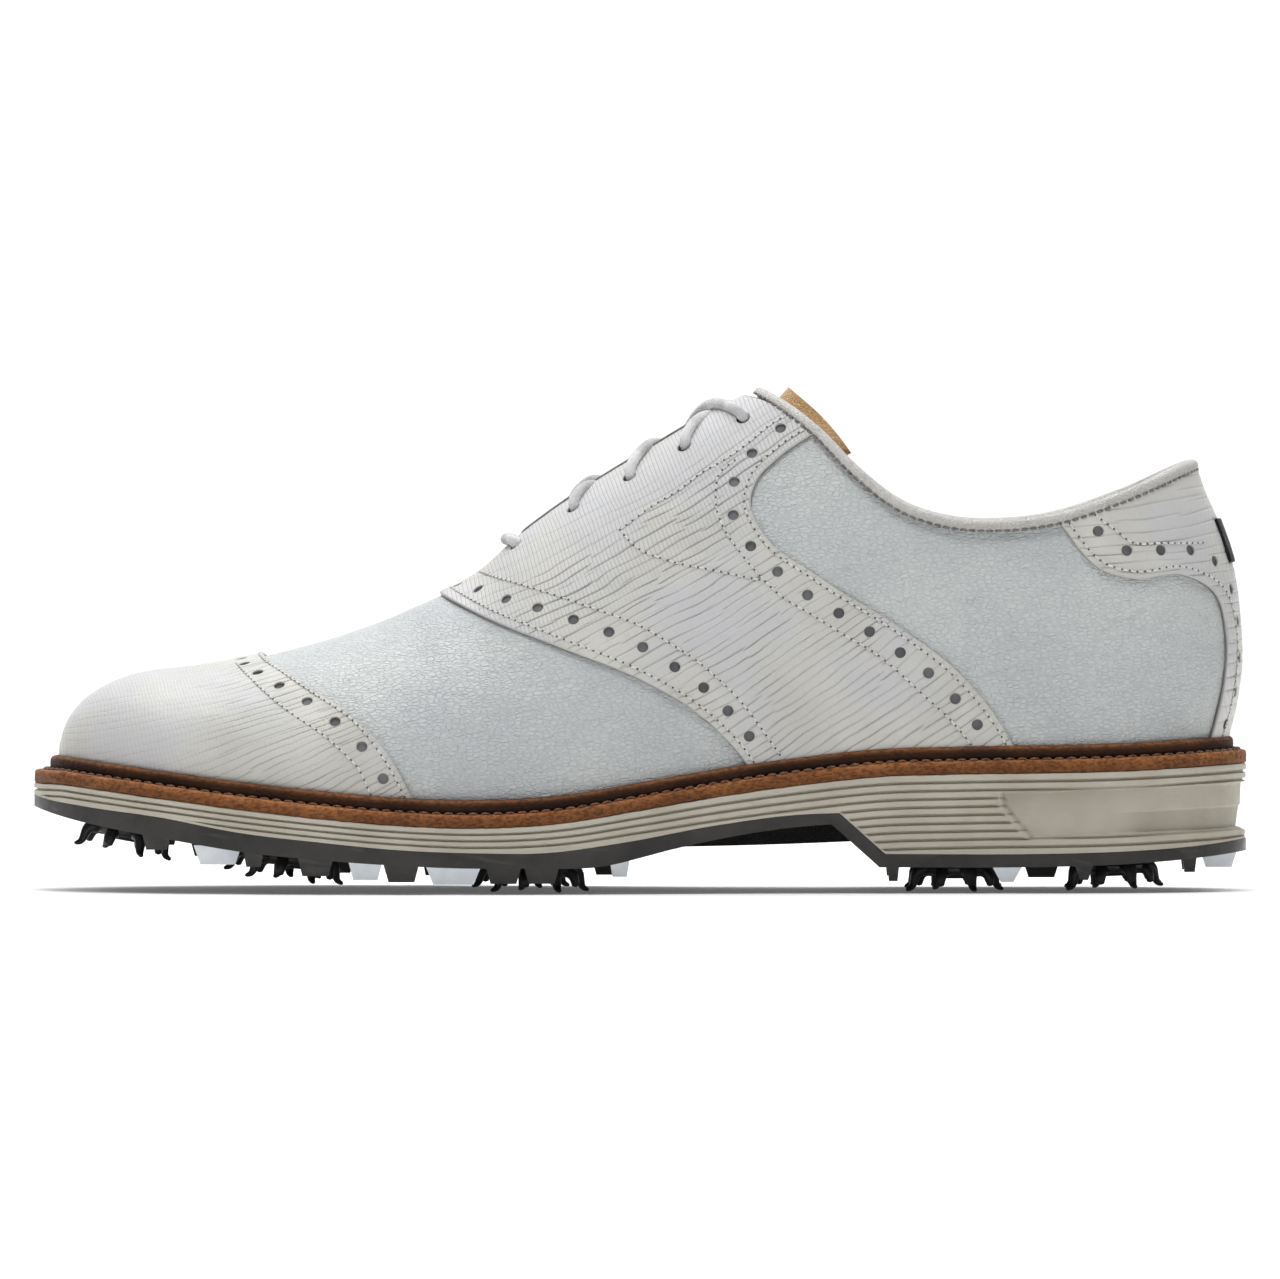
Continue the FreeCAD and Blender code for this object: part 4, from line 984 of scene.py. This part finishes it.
base("vamp_skin", "vamp", (0.25, 11.5), (-2.0, 2.0), [front_of(moved(SADDLE_FRONT, *LAP)), bottom], 1.0,
     soft_wrinkles(71, 11, 0.09))
for side, word in BOTH_SIDES:
    turns = (-math.pi, -0.1) if side < 0 else (0.1, math.pi)
    base(f"quarter_{word}_skin", f"quarter_{word}", (0.25, 16), turns,
         [rear_of(moved(SADDLE_REAR, -LAP[0], -LAP[1])), bottom, under_collar, one_side(side, 0.01)],
         0.9, soft_wrinkles(81, 9, 0.12))


# ---------------------------------------------------------------- collar binding and heel patch

BINDING_STEP, PUCKER, PUCKER_PITCH = 0.8, 0.06, 2.4
# The rolled edge from its lower outer corner over the top to the inside: (out, up) from the topline.
BINDING_SECTION = [(1.22, -2.5), (1.5, -2.0), (1.55, -1.3), (1.3, -0.6), (0.7, -0.05), (-0.3, 0.2),
                   (-1.3, 0.25), (-2.4, 0.15), (-3.3, -0.25), (-3.85, -1.0), (-4.0, -1.8), (-3.75, -2.5),
                   (-2.0, -2.3), (0.0, -2.3)]
TOPLINE_LEVELS = (7.0, 15.9)             # the opening's edge lies between these levels everywhere


def topline_path():
    """Places round the opening from the outer end of the slit, past the heel, to the inner end."""
    turn = np.concatenate([np.linspace(0.02, 0.6, 400), np.linspace(0.6, math.pi, 900)[1:]])
    low, high = (np.full(len(turn), level) for level in TOPLINE_LEVELS)
    for _ in range(HALVINGS):
        mid = (low + high) / 2
        p = on_base(mid, turn)
        over = p[:, 2] > topline(p[:, 0])
        low, high = np.where(over, low, mid), np.where(over, mid, high)
    p = on_base(mid, turn)
    keep = np.abs(p[:, 1]) > SLIT_HALF + 0.6
    first = np.argmax(keep)
    run = run_along(p[first:])
    t = np.linspace(0, run[-1], int(run[-1] / BINDING_STEP))
    level, turn = np.interp(t, run, mid[first:]), np.interp(t, run, turn[first:])
    return np.concatenate([level, level[-2::-1]]), np.concatenate([-turn, (turn - 2 * math.pi)[-2::-1]])


def binding():
    """The rolled edge round the opening. Gives the line of its seam and the outward normals there."""
    p, n = surface(*topline_path(), 0.0)
    along = np.gradient(p, axis=0)
    along /= np.linalg.norm(along, axis=1, keepdims=True)
    up = np.cross(along, n)
    up *= np.where(up[:, 2:3] < 0, -1, 1)
    up /= np.linalg.norm(up, axis=1, keepdims=True)
    run = np.arange(len(p)) * BINDING_STEP
    rings = []
    for k, (out, rise) in enumerate(BINDING_SECTION):
        pucker = PUCKER * np.cos(2 * math.pi * run / PUCKER_PITCH) * (1 if k < 4 else 0.3)
        rings.append(p + n * (out + pucker)[:, None] + up * rise)
    points = np.stack(rings, 1).reshape(-1, 3)
    obj = make_object("collar_roll", points, tube_faces(len(p), len(rings)), LOOKS["leather_backing"])
    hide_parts("collar_binding")
    return p + n * 1.2 - up * 2.75, n


collar_line, collar_normal = binding()

PATCH_HALF_WIDTH, PATCH_HALF_HEIGHT, PATCH_Z = 7.3, 5.5, 87.9
PATCH_BODY, PATCH_EDGE = 0.75, 0.3
patch = Sheet((8.0, 12.5), (math.pi - 0.5, math.pi + 0.5), 0.5, OVERLAY + 0.8, PATCH_BODY)
patch.cut(lambda p: PATCH_HALF_WIDTH - np.abs(p[:, 1]),
          lambda p: PATCH_HALF_HEIGHT - np.abs(p[:, 2] - PATCH_Z), inset=PATCH_EDGE)
patch = patch.build("heel_patch_skin", LOOKS["leather_black"], rounded(PATCH_EDGE, PATCH_BODY),
                    soft_wrinkles(91, 6, 0.05))
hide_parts("heel_patch")


# ---------------------------------------------------------------- stitches

def repeated(block, count, size):
    """The faces of many like pieces of a size in vertices."""
    return [[v + s * size for v in face] for s in range(count) for face in block]


# Share of a stitch's length, of its radius, and how far it rises or sinks in radii.
STITCH_RINGS = [(0.0, 0.45, -0.6), (0.12, 0.85, -0.1), (0.5, 1.0, 0.12), (0.88, 0.85, -0.1),
                (1.0, 0.45, -0.6)]


def capsules(ends_a, ends_b, normals, radius, height=0.7, around=6):
    """Short round stitches whose ends sink into the leather."""
    along = ends_b - ends_a
    across = np.cross(along, normals)
    across /= np.maximum(1e-9, np.linalg.norm(across, axis=1, keepdims=True))
    points = []
    for share, size, lift in STITCH_RINGS:
        centre = ends_a + along * share + normals * (radius * lift)
        for k in range(around):
            a, r = 2 * math.pi * k / around, radius * size
            points.append(centre + across * (r * math.cos(a)) + normals * (r * math.sin(a) * height))
    faces = repeated(tube_faces(len(STITCH_RINGS), around), len(ends_a), len(points))
    return np.stack(points, 1).reshape(-1, 3), faces


def dots(centres, normals, radius, dip=0.0, sides=6):
    """Small flat marks that lie on a surface."""
    helper = np.where(np.abs(normals[:, :1]) < 0.8, np.array([[1.0, 0, 0]]), np.array([[0, 0, 1.0]]))
    u = np.cross(normals, helper)
    u /= np.linalg.norm(u, axis=1, keepdims=True)
    v = np.cross(normals, u)
    ring = [centres + (u * math.cos(a) + v * math.sin(a)) * radius
            for a in 2 * math.pi * np.arange(sides) / sides]
    low = [r - normals * 0.12 for r in ring]
    points = np.stack(ring + low + [centres - normals * dip, centres - normals * 0.14], 1)
    block = []
    for k in range(sides):
        nxt = (k + 1) % sides
        block += [[k, nxt, 2 * sides], [nxt, k, sides + k], [nxt, sides + k, sides + nxt],
                  [sides + nxt, sides + k, 2 * sides + 1]]
    return points.reshape(-1, 3), repeated(block, len(centres), 2 * sides + 2)


def even_places(points, normals, pitch):
    run = run_along(points)
    t = np.linspace(0, run[-1], int(round(run[-1] / pitch)) + 1)
    n = resampled(t, run, normals)
    return resampled(t, run, points), n / np.linalg.norm(n, axis=1, keepdims=True)


STITCH_PITCH, STITCH_RADIUS, NEEDLE_RADIUS = 2.0, 0.3, 0.27
STITCH_GAP = 0.13                        # share of the pitch that is free at each end of a stitch
ROW_STEP = 0.12                          # between the places that are tried along a row
white_stitches, needle_hole_shades = [], []


def sew(line):
    """A row of stitches along a line of the side view, on both sides of the shoe, where there is leather."""
    line = np.asarray(line, float)
    run = run_along(line)
    x, z = resampled(np.arange(0, run[-1], ROW_STEP), run, line).T
    keep = (z > feather(x) + 0.5) & (z < ridge(x) - 0.1) & (x < back(z) - 0.4) & (z < topline(x) - 3.4)
    for side in (-1, 1):
        p, n = side_point(x[keep], z[keep], side, OVERLAY + 0.1)
        from_middle = np.abs(p[:, 1] - centre_y(p[:, 0]))
        keep_wide = from_middle > np.where(p[:, 0] > SLIT_FRONT_X - 3, SLIT_HALF + 2.2, 0.8)
        p, n = even_places(p[keep_wide], n[keep_wide], STITCH_PITCH)
        gap = (p[1:] - p[:-1]) * STITCH_GAP
        white_stitches.append(capsules(p[:-1] + gap, p[1:] - gap, n[:-1], STITCH_RADIUS))
        # A dark disc at every needle hole: painted shade in the hole.
        needle_hole_shades.append(dots(p + n * 0.03, n, NEEDLE_RADIUS))


CAP_INNER = [(-101, 56), (-95, 50.5), (-90, 46.5), (-85, 43), (-80, 40), (-75, 36), (-70, 31), (-68, 27),
             (-67, 24.8)]
FRONT_INNER = [(-40, 79.3), (-30, 76.5), (-20, 73.5), (-10, 70.2), (0, 66.5), (7, 62.5), (14, 58), (20, 53),
               (25, 48), (30, 41.5), (35, 34.5)]
REAR_INNER = [(24, 107.5), (20, 104), (19.2, 99.5), (19.5, 95), (21.5, 90), (25, 85), (30, 79), (36, 73.5),
              (42, 70), (50, 65), (60, 59), (66, 54), (72, 48.5), (78, 43), (83, 37)]
EYESTAY_TOP = [(39, 119.7), (33, 116.3), (26.7, 111.2), (20.3, 106.9), (16, 104.5), (10, 99.9), (4.2, 96.5),
               (-4.7, 90)]
EYESTAY_FRONT = [(-4.7, 90), (-1, 86), (7, 82.7), (19, 80.2), (30, 78)]
COUNTER_INNER = [(112.5, 95.5), (114.2, 94), (119, 90.4), (122.9, 87.4), (130, 87.1), (140.5, 87)]
for edge, distance, inner in ((CAP_EDGE, 1.5, [CAP_INNER]), (SADDLE_FRONT, -1.8, [FRONT_INNER]),
                              (SADDLE_REAR, 1.6, [REAR_INNER, EYESTAY_TOP, EYESTAY_FRONT]),
                              (COUNTER_EDGE, -1.6, [COUNTER_INNER])):
    sew(offset(edge, distance))
    for points in inner:
        sew(smooth_line(points))

obj = make_object("stitches", *joined(white_stitches), LOOKS["thread"])
obj = make_object("needle_hole_shades", *joined(needle_hole_shades), NEEDLE_HOLE_SHADE)


def discs(name, places, radius, material):
    """Dark discs of painted shade under holes, on (place, normal) pairs."""
    spots, normals = (np.array(values) for values in zip(*places))
    make_object(name, *dots(spots, normals, radius, 0.1, 14), material)


ROWS_OF_HOLES = (CAP_HOLES, SADDLE_FRONT_HOLES, SADDLE_REAR_HOLES, COUNTER_HOLES, BACK_HOLES)
places = [side_point(x, z, side, 0.3) for row in ROWS_OF_HOLES for side in (-1, 1) for x, z in row]
places += [crown(*place, 0.3) for place in CAP_CROWN + SADDLE_CROWN]
discs("perforation_shade", places, HOLE_RADIUS + 0.4, PERFORATION_SHADE)
discs("eyelet_shadows", [side_point(x, z, side, 0.35) for x, z in EYELETS for side in (-1, 1)],
      EYELET_RADIUS + 0.2, EYELET_DARK)

p, n = even_places(collar_line, collar_normal, 2.2)
gap = (p[1:] - p[:-1]) * 0.1
obj = make_object("collar_stitches", *capsules(p[:-1] + gap, p[1:] - gap, n[:-1], 0.42), GREY_THREAD_AND_EDGE_SHADE)

# The cut edges of the facings: thin grey lines of painted shade along them.
slit_shade_lines = []
for side in (-1, 1):
    steps = np.arange(SLIT_FRONT_X + 7, 17, 0.8)
    path = [crest_point(x, side * (SLIT_HALF + 0.45) + centre_y(x), OVERLAY + 0.05) for x in steps]
    slit_shade_lines.append(tube_mesh(path, 0.36, 6))
obj = make_object("slit_edge_painted_shade", *joined(slit_shade_lines), GREY_THREAD_AND_EDGE_SHADE)


# ---------------------------------------------------------------- lace

LACE_TOP, LACE_UNDER, LACE_RADIUS = 2.9, 5.4, 1.2
LACE_EDGE = SLIT_HALF + 1.4              # where a crossing leaves the facing
LACE_OVER_EDGE, LACE_UNDER_EDGE = 2.35, -5.0


def lace_pass(number, side, top_first, middle, top_last):
    """Corner points of one crossing, from an eyelet on one side to an eyelet on the other."""
    first = EYELETS[number]
    second = EYELETS[min(number + 1, len(EYELETS) - 1)]
    one, two = side_point(*first, side, 0.0)[0], side_point(*second, -side, 0.0)[0]
    start, end = (LACE_OVER_EDGE if on_top else LACE_UNDER_EDGE for on_top in (top_first, top_last))
    corners = []
    for y, depth in ((side * LACE_EDGE, start), (0.0, middle), (-side * LACE_EDGE, end)):
        x = one[0] + (two[0] - one[0]) * (y - one[1]) / (two[1] - one[1])
        corners.append(crest_point(x, y + centre_y(x), depth))
    return corners


def through_eyelet(number, side, upwards):
    """Through the hole near its upper rim, where a tight lace pulls."""
    depths = (-LACE_UNDER, -1.2, LACE_TOP) if upwards else (LACE_TOP, -1.2, -LACE_UNDER)
    x, z = EYELETS[number]
    return [side_point(x + 0.15, z + 0.35, side, depth)[0] for depth in depths]


def lace_half(side, over):
    """One half of the lace, from the middle of the bottom bar to its tucked end. over: it crosses on top."""
    x = EYELETS[0][0]
    bar = crest_point(x - 1.5, centre_y(x), LACE_OVER_EDGE)
    edge = crest_point(x - 1.3, side * LACE_EDGE + centre_y(x), LACE_OVER_EDGE)
    poles = [bar, (bar + edge) * 0.5, edge] + through_eyelet(0, side, False)
    poles += lace_pass(0, side, False, -5.2 if over else -0.4, False)
    poles += through_eyelet(1, -side, True)
    poles += lace_pass(1, -side, True, 1.3 if over else -3.8, False)
    poles += through_eyelet(2, side, True)
    poles += lace_pass(2, side, True, 1.3 if over else -3.8, False)
    poles += through_eyelet(3, -side, True)
    poles += lace_pass(3, -side, True, 3.0 if over else -1.6, True)
    poles += through_eyelet(4, side, False)
    x, z = EYELETS[4]
    for dx, dz in ((-2.0, -6.0), (-3.5, -11.0), (-5.0, -16.0), (-6.5, -21.0)):
        poles.append(side_point(x + dx, z + dz, side, -5.7)[0])
    return poles


def braid(run, turn):
    """The herringbone of a round braided cord."""
    return 0.13 * (np.abs(np.sin(2 * turn + run * 1.7)) * np.abs(np.sin(2 * turn - run * 1.7)) - 0.35)


strands = [tube_mesh(nurbs(lace_half(side, over), 0.35), LACE_RADIUS + 0.16, 16, relief=braid)
           for side, over in ((-1, True), (1, False))]
lace = make_object("lace_braid", *joined(strands), LOOKS["lace"], sharp=80)
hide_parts("lace")


# ---------------------------------------------------------------- welts, midsole and cleats

def outline_at(turn):
    x = TOE_X + (HEEL_X - TOE_X) * (1 - np.cos(turn)) / 2
    side = np.where(np.sin(turn) < 0, -1.0, 1.0)
    return np.stack([x, centre_y(x) + side * np.where(side < 0, outer_side(x), inner_side(x))], -1)


def outline(spacing):
    """Evenly spaced places of the upper's outline at the welt, and the directions straight out of it."""
    turn = np.linspace(0, 2 * math.pi, 3001)
    run = np.concatenate([[0], np.cumsum(np.linalg.norm(np.diff(outline_at(turn), axis=0), axis=1))])
    turn = np.interp(np.linspace(0, run[-1], int(run[-1] / spacing) + 1)[:-1], run, turn)
    along = outline_at(turn + 0.02) - outline_at(turn - 0.02)
    out = np.stack([-along[:, 1], along[:, 0]], -1)
    return outline_at(turn), out / np.linalg.norm(out, axis=1, keepdims=True)


def belt(name, spacing, rows, material, relief, sharp=40, shade=None):
    """A closed strip round the shoe. Each row is (margin out of the outline, height or rise over the feather,
    edge). The edge value makes a row lighter or darker, unless shade(x, z) says how: in the welts it is partly
    their own two browns and partly painted light on their upper faces, and the midsole's shade paints shade in
    its grooves and heel panel."""
    place, out = outline(spacing)
    x = place[:, 0]
    rings, edges = [], []
    for margin, drop, edge in rows:
        m = margin(x) if callable(margin) else np.full(len(x), float(margin))
        spot = place + out * m[:, None]
        z = drop(spot[:, 0]) if callable(drop) else feather(spot[:, 0]) + drop
        spot = spot + out * relief(spot[:, 0], z, spot[:, 1], edge)[:, None]
        rings.append(np.column_stack([spot, z]))
        edges.append(np.full(len(x), float(edge)) if shade is None else shade(spot[:, 0], z))
    points = np.stack(rings, 1).reshape(-1, 3)
    faces = ring_faces(len(x), len(rows), closed=True)
    values = {"edge": np.stack(edges, 1).reshape(-1)}
    return make_object(name, points, faces, material, sharp=sharp, attributes=values)


def raw_edge(amount, size, seed):
    def relief(x, z, y, edge):
        return amount * noise(x / size + np.where(y < 0, 0, 70), z / (0.4 * size) + y / (2 * size), seed)
    return relief


def scallops(x, z, y, edge):
    """The upper edge of the welt is pulled in a little by every stitch."""
    return raw_edge(0.16, 2.0, 102)(x, z, y, edge) - 0.3 * edge * np.abs(np.sin(x * 1.05 + y * 0.6))


def welt(name, node, spacing, margin, profile, relief):
    """A leather strip. Each place of its profile is (out of the margin, rise, edge), and one at INNER_EDGE lies
    that far out of the upper's outline instead."""
    def beyond(shift):
        return lambda x: margin(x) + shift
    rows = [(shift if shift == INNER_EDGE else beyond(shift), rise, edge) for shift, rise, edge in profile]
    strip = belt(name, spacing, rows, LOOKS["leather_welt"], relief)
    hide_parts(node)


INNER_EDGE = -1.4
# Edge values of the rows: the storm welt stays dark brown with a lighter rounded top, and the lower welt turns
# tan towards its top face; these lighter tops are painted light.
welt("storm_welt_strip", "storm_welt", 1.0, welt_margin,
     [(INNER_EDGE, -3.36, 0), (-0.2, -3.36, 0), (0, -3.1, 0), (0.05, -2.4, 0), (0.05, -1.6, 0),
      (-0.05, -0.9, 0.15), (-0.35, -0.35, 0.5), (-0.9, -0.05, 0.5), (-1.7, 0.05, 0.3), (INNER_EDGE, 0.2, 0)],
     raw_edge(0.12, 3.0, 101))
welt("lower_welt_strip", "lower_welt", 0.6, sole_margin,
     [(INNER_EDGE, -3.44, 0), (-1.1, -3.44, 0.7), (-0.35, -3.62, 1.0), (-0.02, -4.1, 0.85), (0, -4.9, 0.6),
      (0, -5.7, 0.5), (0, -6.4, 0.45), (-0.25, -6.74, 0.5), (INNER_EDGE, -6.76, 0)], scallops)

WELT_STITCH = 3.0
place, out = outline(WELT_STITCH)
place = place + out * (welt_margin(place[:, 0]) + 1.35)[:, None]
ring = np.column_stack([place, feather(place[:, 0]) - STORM_WELT + 0.12])
step = np.roll(ring, -1, 0) - ring
ups = np.tile([0.0, 0.0, 1.0], (len(ring), 1))
seam = capsules(ring + step * 0.12, ring + step * 0.88, ups, 0.5, 0.8)
obj = make_object("welt_stitches", *seam, TAN_THREAD)
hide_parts("welt_thread")

MIDSOLE_TOP = -STORM_WELT - LOWER_WELT
BREAST = (50.0, 61.5)                    # where the heel's front edge starts and ends
# The recessed panel on the heel: (height, slope, x) of its upper line, its lower line and the crease across it,
# and its front edge.
PANEL_TOP, PANEL_FOOT, PANEL_CREASE = (24.9, 0.033, 92), (14.0, 0.03, 97), (20.2, 0.04, 121)
PANEL_EDGE = [(90.6, 30.0), (90.3, 25.0), (90.6, 22.6), (93.6, 18.2), (97.4, 13.8), (98.6, 12.0)]


def midsole_foot(x):
    """Height where the midsole meets the outsole."""
    breast = np.interp(x, BREAST, [20.0, 9.7])
    return np.where(x < BREAST[0], outsole_top(x), np.where(x < BREAST[1], breast, heel_top(x)))


def pitch(x):
    """Height of one rib: the ribs draw together towards the toe."""
    return 1.55 + 0.5 * smooth_step(x, -70, 50)


panel_field = front_of(PANEL_EDGE)


def midsole_fields(x, z):
    """How far each place lies in a groove between ribs, in the heel panel, on its rim and under its crease."""
    ribs = (feather(x) + MIDSOLE_TOP - z) / pitch(x)
    nearest = np.round(ribs)
    cut = (1 - smooth_step(np.abs(ribs - nearest), 0.06, 0.24)) * (nearest > 0.5)
    cut = cut * smooth_step(z - midsole_foot(x), 0.5, 0.9)
    top, foot, crease = (z0 + slope * (x - x0) for z0, slope, x0 in (PANEL_TOP, PANEL_FOOT, PANEL_CREASE))
    left = panel_field(np.column_stack([x, x, z]))

    def between(soft):
        return smooth_step(z, foot - soft, foot) * (1 - smooth_step(z, top, top + soft))

    inside = (1 - smooth_step(left, -1.3, 0.0)) * between(0.4)
    rim = np.exp(-((left - 0.55) / 0.55) ** 2) * between(1.0)
    under = smooth_step(x, 116, 128) * (1 - smooth_step(z - crease, -0.35, 0.1))
    under = under * smooth_step(z, foot, foot + 0.3)
    drop = np.clip((crease - z) / (crease - foot), 0, 1)
    return cut * (1 - inside) * (1 - 0.85 * rim), inside, rim, under, drop


def midsole_relief(x, z, y, edge):
    cut, inside, rim, under, drop = midsole_fields(x, z)
    waist = 0.4 * smooth_step(x, 110, 150) * np.sin(math.pi * np.clip((z - 10) / 21, 0, 1))
    return 0.25 * rim - 0.8 * cut - (1.15 + under * (0.35 + 0.9 * drop)) * inside - waist


def midsole_shade(x, z):
    cut, inside, rim, under, drop = midsole_fields(x, z)
    return np.clip(0.55 * cut + 1.6 * inside * (1 - inside) + inside * (0.08 + 0.24 * under), 0, 1)


def midsole():
    """Rows are packed round each groove and pile up on the foot where the midsole is thin."""
    steps = [0.05, 0.2, 0.5]
    for rib in range(1, 11):
        steps += [rib + d for d in (-0.26, -0.17, -0.09, 0.0, 0.09, 0.17, 0.26, 0.42, 0.58)]

    def row(number, step):
        def height(x):
            lowest = midsole_foot(x) + 0.03 + 0.002 * (len(steps) - number)
            return np.maximum(feather(x) + MIDSOLE_TOP - pitch(x) * step, lowest)
        margin = (lambda x: sole_margin(x) - 0.3) if number == 0 else sole_margin
        return margin, height, 0

    rows = [(-3.0, -6.84, 0), *[row(number, step) for number, step in enumerate(steps)]]
    rows.append((-3.0, lambda x: midsole_foot(x) + 0.03, 0))
    rand = belt("midsole_rand", 0.62, rows, LOOKS["midsole"], midsole_relief, sharp=50, shade=midsole_shade)
    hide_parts("midsole")


midsole()

# Spikes: x, y, and the tilt about Y in degrees. CLEAT_DROP is their height under the outsole.
CLEATS = [(-129, 5, 10.5), (-86, -25, 5.5), (-92, 23, 6.2), (-25, -27, 0), (-30, 22, 0),
          (79, -18, 0), (79, 18, 0), (119, -15, -2.2), (119, 15, -2.2)]
CLEAT_DROP = 6.4


def lathe(profile, steps=40):
    """A turned shape about Z from (radius, height) pairs that start and end on the axis."""
    turn = 2 * math.pi * np.arange(steps) / steps
    round_once = np.stack([np.cos(turn), np.sin(turn)], -1)
    rings = [np.column_stack([round_once * r, np.full(steps, float(z))]) for r, z in profile[1:-1]]
    points = np.concatenate(rings + [[[0, 0, profile[0][1]]], [[0, 0, profile[-1][1]]]])
    n, first, last = len(rings), len(rings) * steps, len(rings) * steps + 1
    faces = ring_faces(n, steps)
    faces += [[first, (k + 1) % steps, k] for k in range(steps)]
    faces += [[last, (n - 1) * steps + k, (n - 1) * steps + (k + 1) % steps] for k in range(steps)]
    return points, faces


def claw(poles, radii, angle):
    """One springy leg: a tapering bent bar."""
    path = nurbs([(r, 0, z) for r, z in poles], 0.35)
    share = np.linspace(0, 1, len(path))
    radius = np.interp(share, np.linspace(0, 1, len(radii)), radii)
    p, f = tube_mesh(path, radius, 10, squash=1.25, up=(0, 1, 0))
    c, s = math.cos(angle), math.sin(angle)
    return np.column_stack([p[:, 0] * c - p[:, 1] * s, p[:, 0] * s + p[:, 1] * c, p[:, 2]]), f


HUB = [(0, 3.5), (5.3, 3.5), (5.5, 3.3), (5.5, -0.25), (8.2, -0.3), (8.6, -0.6), (8.6, -1.5), (8.1, -2.1),
       (6.2, -2.3), (5.9, -2.0), (4.8, -2.0), (4.5, -2.6), (4.2, -3.1), (3.4, -3.2), (2.6, -2.8), (0, -2.7)]
# Each kind of leg: (out from the axis, height) along it, and its radii.
LONG_LEG = ([(5.5, -1.1), (7.5, -0.8), (9.3, -0.9), (10.6, -1.9), (11.0, -3.6), (11.4, -5.2), (12.2, -5.75),
             (13.3, -6.0)], (1.5, 1.6, 1.75, 1.7, 1.35, 1.1, 0.95, 0.7, 0.4))
SHORT_LEG = ([(5.0, -1.2), (7.2, -1.0), (8.7, -1.7), (9.5, -3.0), (9.6, -4.3), (9.8, -5.1)],
             (1.5, 1.7, 1.5, 1.3, 1.1, 0.8))


def spike_parts():
    legs = [claw(*(SHORT_LEG if k % 2 else LONG_LEG), math.radians(45 * k + 22.5)) for k in range(8)]
    return joined([lathe(HUB)] + legs)


def under_outsole(x):
    """Height of the underside that a spike sits on, no lower than lets it stand on the floor."""
    return max(float(heel_bottom(x) if x > BREAST[1] else outsole_bottom(x)), CLEAT_DROP)


spike_points, spike_faces = spike_parts()
for number, (x, y, tilt) in enumerate(CLEATS, 1):
    c, s = math.cos(math.radians(tilt)), math.sin(math.radians(tilt))
    across, up = spike_points[:, 0], spike_points[:, 2]
    turned = np.column_stack([across * c + up * s, spike_points[:, 1], up * c - across * s])
    spike = make_object(f"spike_{number}_claws", turned + (x, y, under_outsole(x)), spike_faces,
                        LOOKS["black_plastic"], f"spike_{number}", 50)
    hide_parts(f"cleat_{number}")


# ---------------------------------------------------------------- camera, light and floor

# The camera looks at the shoe's outer side from far away and from a little above its middle height.
CAMERA_AWAY, CAMERA_HEIGHT, CAMERA_FALL, CAMERA_X = 7.1512, 0.1728, 0.11, 0.0001
LENS_MM, SENSOR_MM = 800, 36

scene = bpy.context.scene
lens = bpy.data.cameras.new("camera")
lens.lens = LENS_MM
lens.sensor_width = SENSOR_MM
lens.sensor_fit = "HORIZONTAL"
lens.dof.use_dof = False
camera = bpy.data.objects.new("camera", lens)
scene.collection.objects.link(camera)
camera.location = (CAMERA_X, -CAMERA_AWAY, CAMERA_HEIGHT)
camera.rotation_euler = (math.atan2(CAMERA_AWAY, CAMERA_FALL), 0, 0)
scene.camera = camera


def lamp(name, place, aim, size, watts):
    data = bpy.data.lights.new(name, "AREA")
    data.shape = "DISK"
    data.size = size
    data.energy = watts
    obj = bpy.data.objects.new(name, data)
    scene.collection.objects.link(obj)
    obj.location = place
    direction = [a - b for a, b in zip(aim, place)]
    obj.rotation_euler = Vector(direction).to_track_quat("-Z", "Y").to_euler()


lamp("key", (-0.12, -0.38, 1.15), (-0.01, 0, 0.05), 0.35, 4.6)
lamp("rear", (-0.1, 0.6, 1.2), (0, 0, 0.05), 0.6, 3.8)

FLOOR_SIZE, FLOOR_Z = 8, -0.0002
bpy.ops.mesh.primitive_grid_add(x_subdivisions=2, y_subdivisions=2, size=FLOOR_SIZE, location=(0, 0, FLOOR_Z))
floor = bpy.context.object
floor.name = "floor"
paper = Look("floor", Specular_IOR_Level=0.1, Emission_Color=(1, 1, 1, 1), Emission_Strength=0.1)
floor.data.materials.append(paper.done(srgb(252, 252, 252), 0.9))

# A studio sky: a bright wall behind the shoe, dark at both sides, and a bright ceiling.
world = bpy.data.worlds.new("world")
world.use_nodes = True
sky = Nodes(world.node_tree)
split = sky.new("SeparateXYZ")
sky.join(sky.new("TexCoord").outputs["Generated"], split.inputs[0])
back_wall = sky.remap(split.outputs["Y"], -0.6, 0.5, 0.03, 1.1)
dark_sides = sky.remap(sky.sum("ABSOLUTE", split.outputs["X"]), 0.3, 0.8, 1.0, 0.04)
ceiling = sky.remap(split.outputs["Z"], 0.4, 0.95, 0.0, 1.0)
background = world.node_tree.nodes["Background"]
sky.join(sky.sum("ADD", sky.times(back_wall, dark_sides), ceiling), background.inputs["Strength"])
sky.join((1.0, 1.0, 1.0, 1.0), background.inputs["Color"])
scene.world = world
scene.view_settings.view_transform = "Standard"
